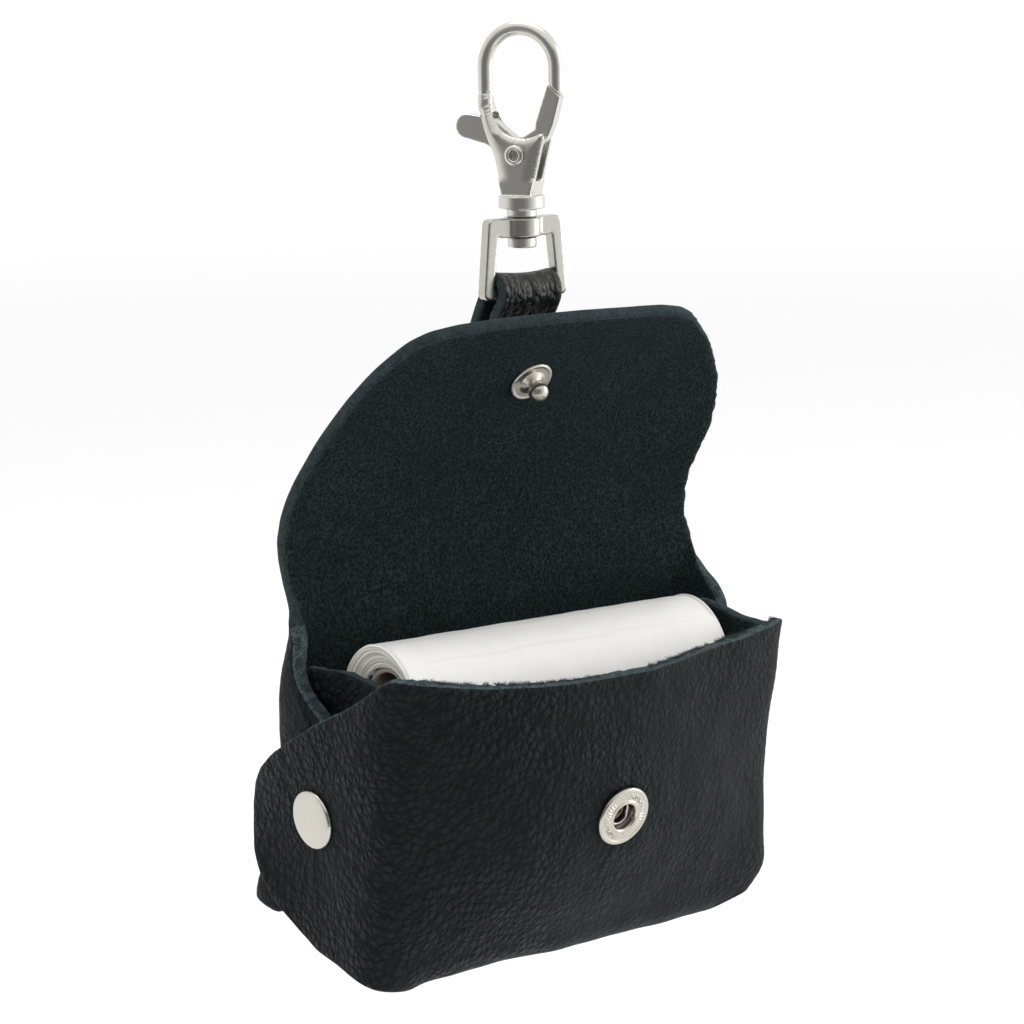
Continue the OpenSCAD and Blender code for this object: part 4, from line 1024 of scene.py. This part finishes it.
def marked(verts):  # a ring of small raised dashes and dots, evenly spaced
    r, turn = np.hypot(verts[:, 0], verts[:, 1]), np.arctan2(verts[:, 1], verts[:, 0])
    slot = np.floor((turn / (2 * math.pi) + .5) * snap["marks"])
    on = ease((-np.cos(turn * snap["marks"]) + .15) / .5)
    inner = np.where(slot % 3 == 1, snap["inner"][1], snap["inner"][0])
    outer = np.where(slot % 4 == 2, snap["outer"][1], snap["outer"][0])
    band = ease((r - inner) / snap["soft"]) * ease((outer - r) / snap["soft"]) * (verts[:, 2] > .4)
    verts[:, 2] += snap["raised"] * on * band
    return verts


rim, hole = snap["wide"] / 2, snap["hole"] / 2
flange = [(hole + .75, -.35), (rim - .35, -.3), (rim, .0), (rim, .40), (rim - .22, .66), (rim - .62, .64),
          (rim - .82, .52), (3.5, .56), (2.9, .62), (2.62, .78), (2.36, .80), (hole + .05, .55), (hole, .1),
          (hole - .02, -1.9), (hole + .35, -2.0), (hole + .45, -1.0), (hole + .75, -.35)]
socketSpot = frameAt(frontAt, socketPlace["x"], socketPlace["height"], .34)
socket = spun("snapSocket", bendProfile(flange, .07), socketSpot, looks["snap"], 352, marked)
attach(socket, "pouch")
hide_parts("snap_socket")
barrel = [(1.3, -2.75), (3.6, -2.75), (4.0, -2.6), (4.0, -2.45), (2.5, -2.4), (1.65, -2.2), (1.62, -1.6),
          (1.3, -1.6), (1.3, -2.75)]
eyelet = spun("socketEyelet", bendProfile(barrel), socketSpot, looks["inner"])
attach(eyelet, "pouch")
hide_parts("socket_eyelet")


def wireRing(name, place, r, wire, z, mat, wave, around=72, ring=10):  # pressed in at two sides by its wave
    verts, faces = [], []
    for i in range(around):
        a = 2 * math.pi * i / around
        middle = r - wave * max(0, math.cos(2 * a)) ** 2
        here, ahead = i * ring, (i + 1) % around * ring
        for j in range(ring):
            b = 2 * math.pi * j / ring
            out = middle + wire * math.cos(b)
            verts.append((out * math.cos(a), out * math.sin(a), z + wire * math.sin(b)))
            faces.append([here + j, ahead + j, ahead + (j + 1) % ring, here + (j + 1) % ring])
    world = (np.c_[np.array(verts) / 1000, np.ones(len(verts))] @ np.array(place).T)[:, :3]
    return meshPiece(name, world, faces, [mat])


springRing = wireRing("socketSpring", socketSpot, hole - .28, .22, -.75, looks["steel"], .35)
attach(springRing, "pouch")
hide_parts("socket_spring")

stud = {"run": 37.0, "wide": 7.4, "ball": 3.3, "squash": .92, "height": 4.0}
studSpot = frameAt(backAt, 0, stud["run"], 0)
inside = studSpot.copy()
inside[:3, 1:3] *= -1
inside[:3, 3] = studSpot[:3, 3] - studSpot[:3, 2] * leatherCut["thick"] / 1000
rs, rb, tall = stud["wide"] / 2, stud["ball"] / 2, stud["height"]
profile = [(rs * .5, -.3), (rs * .96, -.1), (rs, .12), (rs - .04, .36), (rs - .3, .5), (rs - .75, .40), (2.2, .42),
           (1.75, .72), (1.3, 1.05), (1.1, 1.5), (1.12, 1.75)]
profile += [(rb * math.cos(a), tall - rb * stud["squash"] + rb * stud["squash"] * math.sin(a))
            for a in np.linspace(-.72, 1.25, 14)] + [(.5, tall), (0, tall - .02)]
studPiece = spun("snapStud", bendProfile(profile, .05), inside, looks["snap"])
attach(studPiece, "flap")
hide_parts("snap_stud")
rivetCap("studCap", frameAt(backAt, 0, stud["run"], .1), "stud_cap", "flap")
print("rivets and snap made")

castings = {"hook_body": {"body": "hook", "cell": .13, "rounds": 13, "look": "cast"},
            "hook_gate": {"body": "gate", "cell": .12, "rounds": 10, "look": "cast"},
            "swivel_eye": {"body": "eye", "cell": .14, "rounds": 20, "look": "eye"}}
for node, own in castings.items():
    cell = own["cell"] * 1
    piece = castFrom(node, cell, own["rounds"], looks[own["look"]])
    if node == "hook_body":
        roundCheeks(piece)
    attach(piece, own["body"])
    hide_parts(node)

pin = {"rim": 1.62, "tube": .78, "proud": .34}


def gatePin():  # a tubular pin, its ends rolled over
    joint = jointNamed("gate_pivot")
    middle, axis = np.array(joint["pos_m"], float), np.array(joint["axis"], float)
    axis /= np.linalg.norm(axis)
    node = frame["nodes"]["gate_pin"]
    spots = np.array([list(node.matrix_world @ v.co) for v in node.data.vertices])
    along = (spots - middle) @ axis * 1000
    low, high = along.min(), along.max()
    side = np.cross(axis, (0, 0, 1))
    place = np.eye(4)
    place[:3, 0], place[:3, 1], place[:3, 2], place[:3, 3] = side, np.cross(axis, side), axis, middle
    r, b, d = pin["rim"], pin["tube"], pin["proud"]
    end = [(b, high + d * .55), (b + .18, high + d * .95), (b + .4, high + d), (r - .12, high + d * .45),
           (r, high - .02), (r - .3, high - .1), (1.2, high - .25)]
    start = [(q, low + high - z) for q, z in end[::-1]]
    profile = [(0, high - 1.0), (b - .1, high - 1.0)] + end + start + [(b - .1, low + 1.0), (0, low + 1.0)]
    piece = spun("gatePinTube", bendProfile(profile), place, looks["cast"])
    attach(piece, "hook")
    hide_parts("gate_pin")


gatePin()

# roll of bags; bands are the layers that stand apart at its ends, and sunk is how deep the inner ones lie
roll = {"radius": 10.75, "bore": 7.0, "length": 59.5, "y": -1.8, "z": 38.75, "core": 6.0, "shift": -.4, "sunk": 1.5,
        "bands": [7.0, 7.3, 7.9, 8.3, 9.0, 9.35, 9.9, 10.25, 10.6]}


def rollPoint(x, r, a):
    return hung(x + roll["shift"], roll["y"] + r * np.cos(a), roll["z"] + r * np.sin(a))


def rollFilm(around=180, along=84):
    dice = np.random.default_rng(61)
    turn = np.linspace(0, 2 * math.pi, around + 1)[:-1]
    half, bands = roll["length"] / 2, roll["bands"]
    sunk = -roll["sunk"] * (bands[-1] - np.array(bands)) / 3.6
    depth = {s: sunk + dice.uniform(-.35, .2, len(bands)) for s in (-1, 1)}

    def endRings(s):  # x, radius and end mask of each ring, as functions of the turn
        made = []
        for i, r in enumerate(bands):
            out = half + depth[s][i] + .10 * np.sin(turn + i) + .05 * np.sin(3 * turn + 2 * i)
            wide = (bands[i + 1] if i + 1 < len(bands) else roll["radius"]) - .02
            drift = .18 * turn / (2 * math.pi)
            made.append((s * out, r + drift * (i > 0), 1.0))
            made.append((s * (out + .03), np.full(around, (r + wide) / 2) + drift, 1.0))
            made.append((s * out, wide + drift * (i + 1 < len(bands)), 1.0))
        return made

    lineUp = endRings(-1)
    for x in np.linspace(-half + .45, half - .45, along):
        squeeze = .05 * np.sin(2 * turn + .6) + .05 * ripple(turn * 10, x, 62, 17) + .05 * ripple(turn * 10, x, 63, 6)
        taper = .18 * np.exp(-((half - abs(x)) / 1.1) ** 2)
        flapEdge = .16 * ease((turn - 2.02 - .02 * math.sin(x * .35)) / .02) * ease((3.6 - turn) / 1.2)
        lineUp.append((np.full(around, x), roll["radius"] + squeeze - taper + flapEdge - .1, 0.0))
    lineUp += endRings(1)[::-1]
    lineUp += [(np.full(around, x), np.full(around, roll["bore"]), 0.0) for x in np.linspace(half - 1, -half + 1, 12)]
    verts, wound, ends, faces = [], [], [], []
    for x, r, m in lineUp:
        r = np.broadcast_to(r, turn.shape)
        verts.append(rollPoint(x, r, turn))
        wound.append(np.stack([turn * 10, x, r], -1))
        ends.append(np.full(around, m))
    n = len(lineUp)
    for k in range(n):
        a, b = k * around, (k + 1) % n * around
        for i in range(around):
            j = (i + 1) % around
            faces.append([a + i, b + i, b + j, a + j])
    return meshPiece("bagFilmRoll", np.concatenate(verts), faces, [looks["film"]], None,
                     {"wound": np.concatenate(wound), "endFace": np.concatenate(ends)})


film = rollFilm()
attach(film, "roll")
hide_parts("bag_roll")


def cardCore(around=96):
    turn = np.linspace(0, 2 * math.pi, around + 1)[:-1]
    half, r0, r1 = roll["length"] / 2 - 1.9, roll["core"], roll["bore"] - .1
    path = [(-half, r0 + .15), (-half - .12, (r0 + r1) / 2), (-half, r1)]
    path += [(x, r1) for x in np.linspace(-half + 1, half - 1, 20)]
    path += [(half, r1), (half + .12, (r0 + r1) / 2), (half, r0 + .15)]
    path += [(x, r0 + .02 * math.sin(x)) for x in np.linspace(half - .6, -half + .6, 40)]
    verts = np.concatenate([rollPoint(np.full(around, x), np.full(around, r), turn) for x, r in path])
    wound = np.concatenate([np.stack([turn * 6, np.full(around, x), np.full(around, r)], -1) for x, r in path])
    faces = []
    for k in range(len(path)):
        a, b = k * around, (k + 1) % len(path) * around
        faces += [[a + i, b + i, b + (i + 1) % around, a + (i + 1) % around] for i in range(around)]
    return meshPiece("cardCore", verts, faces, [looks["card"]], None, {"wound": wound})


core = cardCore()
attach(core, "core")
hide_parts("roll_core")
print("roll made")

# the gate's spring keeps its own mesh
springSkins = frame["nodes"]["gate_spring"].data.materials
if len(springSkins):
    for i in range(len(springSkins)):
        springSkins[i] = looks["steel"]
else:
    springSkins.append(looks["steel"])

# floor and light, in metres
studio = {"floor": -.196, "wide": 6, "ambient": .47, "aim": (0, 0, -.09)}
paper = {"low": (.80, .80, .80), "high": (.83, .83, .83), "near": .3, "far": 2.4, "nearGlow": .26, "farGlow": .68}
black, white = (0, 0, 0), (1, 1, 1)

floorFinish = Finish("floorPaper", Roughness=.9, Specular_IOR_Level=.1, Emission_Strength=1.0)
seen = floorFinish.whiteForTheEye()
spot = floorFinish.space()
fibre = floorFinish.noise(spot, 60.0, 3.0)
far = floorFinish.vector("LENGTH", [spot], "Value")
far = floorFinish.fit(far, paper["near"], paper["far"], paper["nearGlow"], paper["farGlow"])
floorFinish.give(Base_Color=floorFinish.tint(fibre, paper["low"], paper["high"]),
                 Emission_Color=floorFinish.tint(seen, black, floorFinish.tint(far, black, white)))
corners = [(x * studio["wide"], y * studio["wide"], studio["floor"]) for x, y in ((-1, -1), (1, -1), (1, 1), (-1, 1))]
floor = meshPiece("floorSheet", corners, [(0, 1, 2, 3)], [floorFinish.mat])

world = bpy.data.worlds.new("paleRoom")
bpy.context.scene.world = world
world.use_nodes = True
world.node_tree.nodes.clear()
room = Sheet(world.node_tree)
glow = room.add("ShaderNodeBackground", {}, {"Color": (studio["ambient"],) * 3 + (1,)})
bright = room.add("ShaderNodeBackground", {}, {"Color": (*white, 1)})
room.add("ShaderNodeOutputWorld", {}, [room.add("ShaderNodeMixShader", {}, [room.whiteForTheEye(), glow, bright])])

# a lamp that isn't mirrored leaves no bright patch on the metal
lamps = {"keyLamp": {"spot": (-.55, -.75, .65), "size": (.7, .7), "power": 5.6, "mirrored": False},
         "rightLamp": {"spot": (.95, -.45, .12), "size": (.5, .8), "power": 5.0, "mirrored": True},
         "leftLamp": {"spot": (-.95, -.15, .15), "size": (.5, .8), "power": 2.4, "mirrored": False},
         "topLamp": {"spot": (.1, .25, .95), "size": (.8, .6), "power": 4.4, "mirrored": True}}
for name, own in lamps.items():
    lamp = bpy.data.lights.new(name, "AREA")
    lamp.shape, (lamp.size, lamp.size_y), lamp.energy = "RECTANGLE", own["size"], own["power"]
    made = bpy.data.objects.new(name, lamp)
    made.location = own["spot"]
    made.visible_glossy = own["mirrored"]
    made.rotation_euler = (Vector(studio["aim"]) - Vector(own["spot"])).to_track_quat("-Z", "Y").to_euler()
    bpy.context.scene.collection.objects.link(made)

# a grey ground and wall on the camera's side; from and to are degrees round, the rest metres and strengths
surround = {"glow": .20, "edge": .95, "radius": 2.2, "from": 150, "to": 298, "near": .2, "high": 1.15, "lift": .004}
greyCard = Finish("greyCard", Roughness=1.0, Specular_IOR_Level=0.0, Emission_Strength=1.0)
greyCard.skin.inputs["Base Color"].default_value = (*black, 1)
spot = greyCard.space()
middle = math.radians((surround["from"] + surround["to"]) / 2)
level = greyCard.vector("NORMALIZE", [greyCard.stretch(spot, (1, 1, 0))])
level = greyCard.vector("DOT_PRODUCT", [level, (math.cos(middle), math.sin(middle), 0)], "Value")
dusk = greyCard.fit(level, .30, .92, surround["edge"], surround["glow"])  # darkest in the middle
dusk = dusk * greyCard.fit(greyCard.noise(spot, 1.6, 2.0), .3, .7, .75, 1.2)
greyCard.give(Emission_Color=greyCard.tint(dusk, black, white))


def surroundSheet():  # only reflections see it
    turns = np.radians(np.linspace(surround["from"], surround["to"], 49))
    low = studio["floor"] + surround["lift"]
    rings = [(surround["near"], low), (surround["radius"], low), (surround["radius"], surround["high"])]
    verts = [(r * math.cos(a), r * math.sin(a), z) for a in turns for r, z in rings]
    faces = [(3 * i + k, 3 * i + k + 1, 3 * i + k + 4, 3 * i + k + 3) for i in range(len(turns) - 1) for k in (0, 1)]
    wall = meshPiece("surroundSheet", verts, faces, [greyCard.mat])
    wall.visible_camera = wall.visible_diffuse = wall.visible_shadow = wall.visible_transmission = False


surroundSheet()

view = {"spot": (-.2903, -.4219, .0233), "toward": (.5535, .8115, -.1871), "roll": -.72, "lens": 116.5}
toward = Vector(view["toward"]).normalized()
across = toward.cross(Vector((0, 0, 1))).normalized()
upright = across.cross(toward)
c, s = math.cos(math.radians(view["roll"])), math.sin(math.radians(view["roll"]))
across, upright = across * c + upright * s, upright * c - across * s
lens = bpy.data.cameras.new("viewCamera")
lens.lens, lens.sensor_width, lens.clip_start = view["lens"], 36, .01
camera = bpy.data.objects.new("viewCamera", lens)
placed = Matrix.Identity(4)
for k, column in enumerate((across, upright, -toward, Vector(view["spot"]))):
    for row in range(3):
        placed[row][k] = column[row]
camera.matrix_world = placed
bpy.context.scene.collection.objects.link(camera)
bpy.context.scene.camera = camera
bpy.context.scene.view_settings.view_transform = "Standard"
print("studio set")
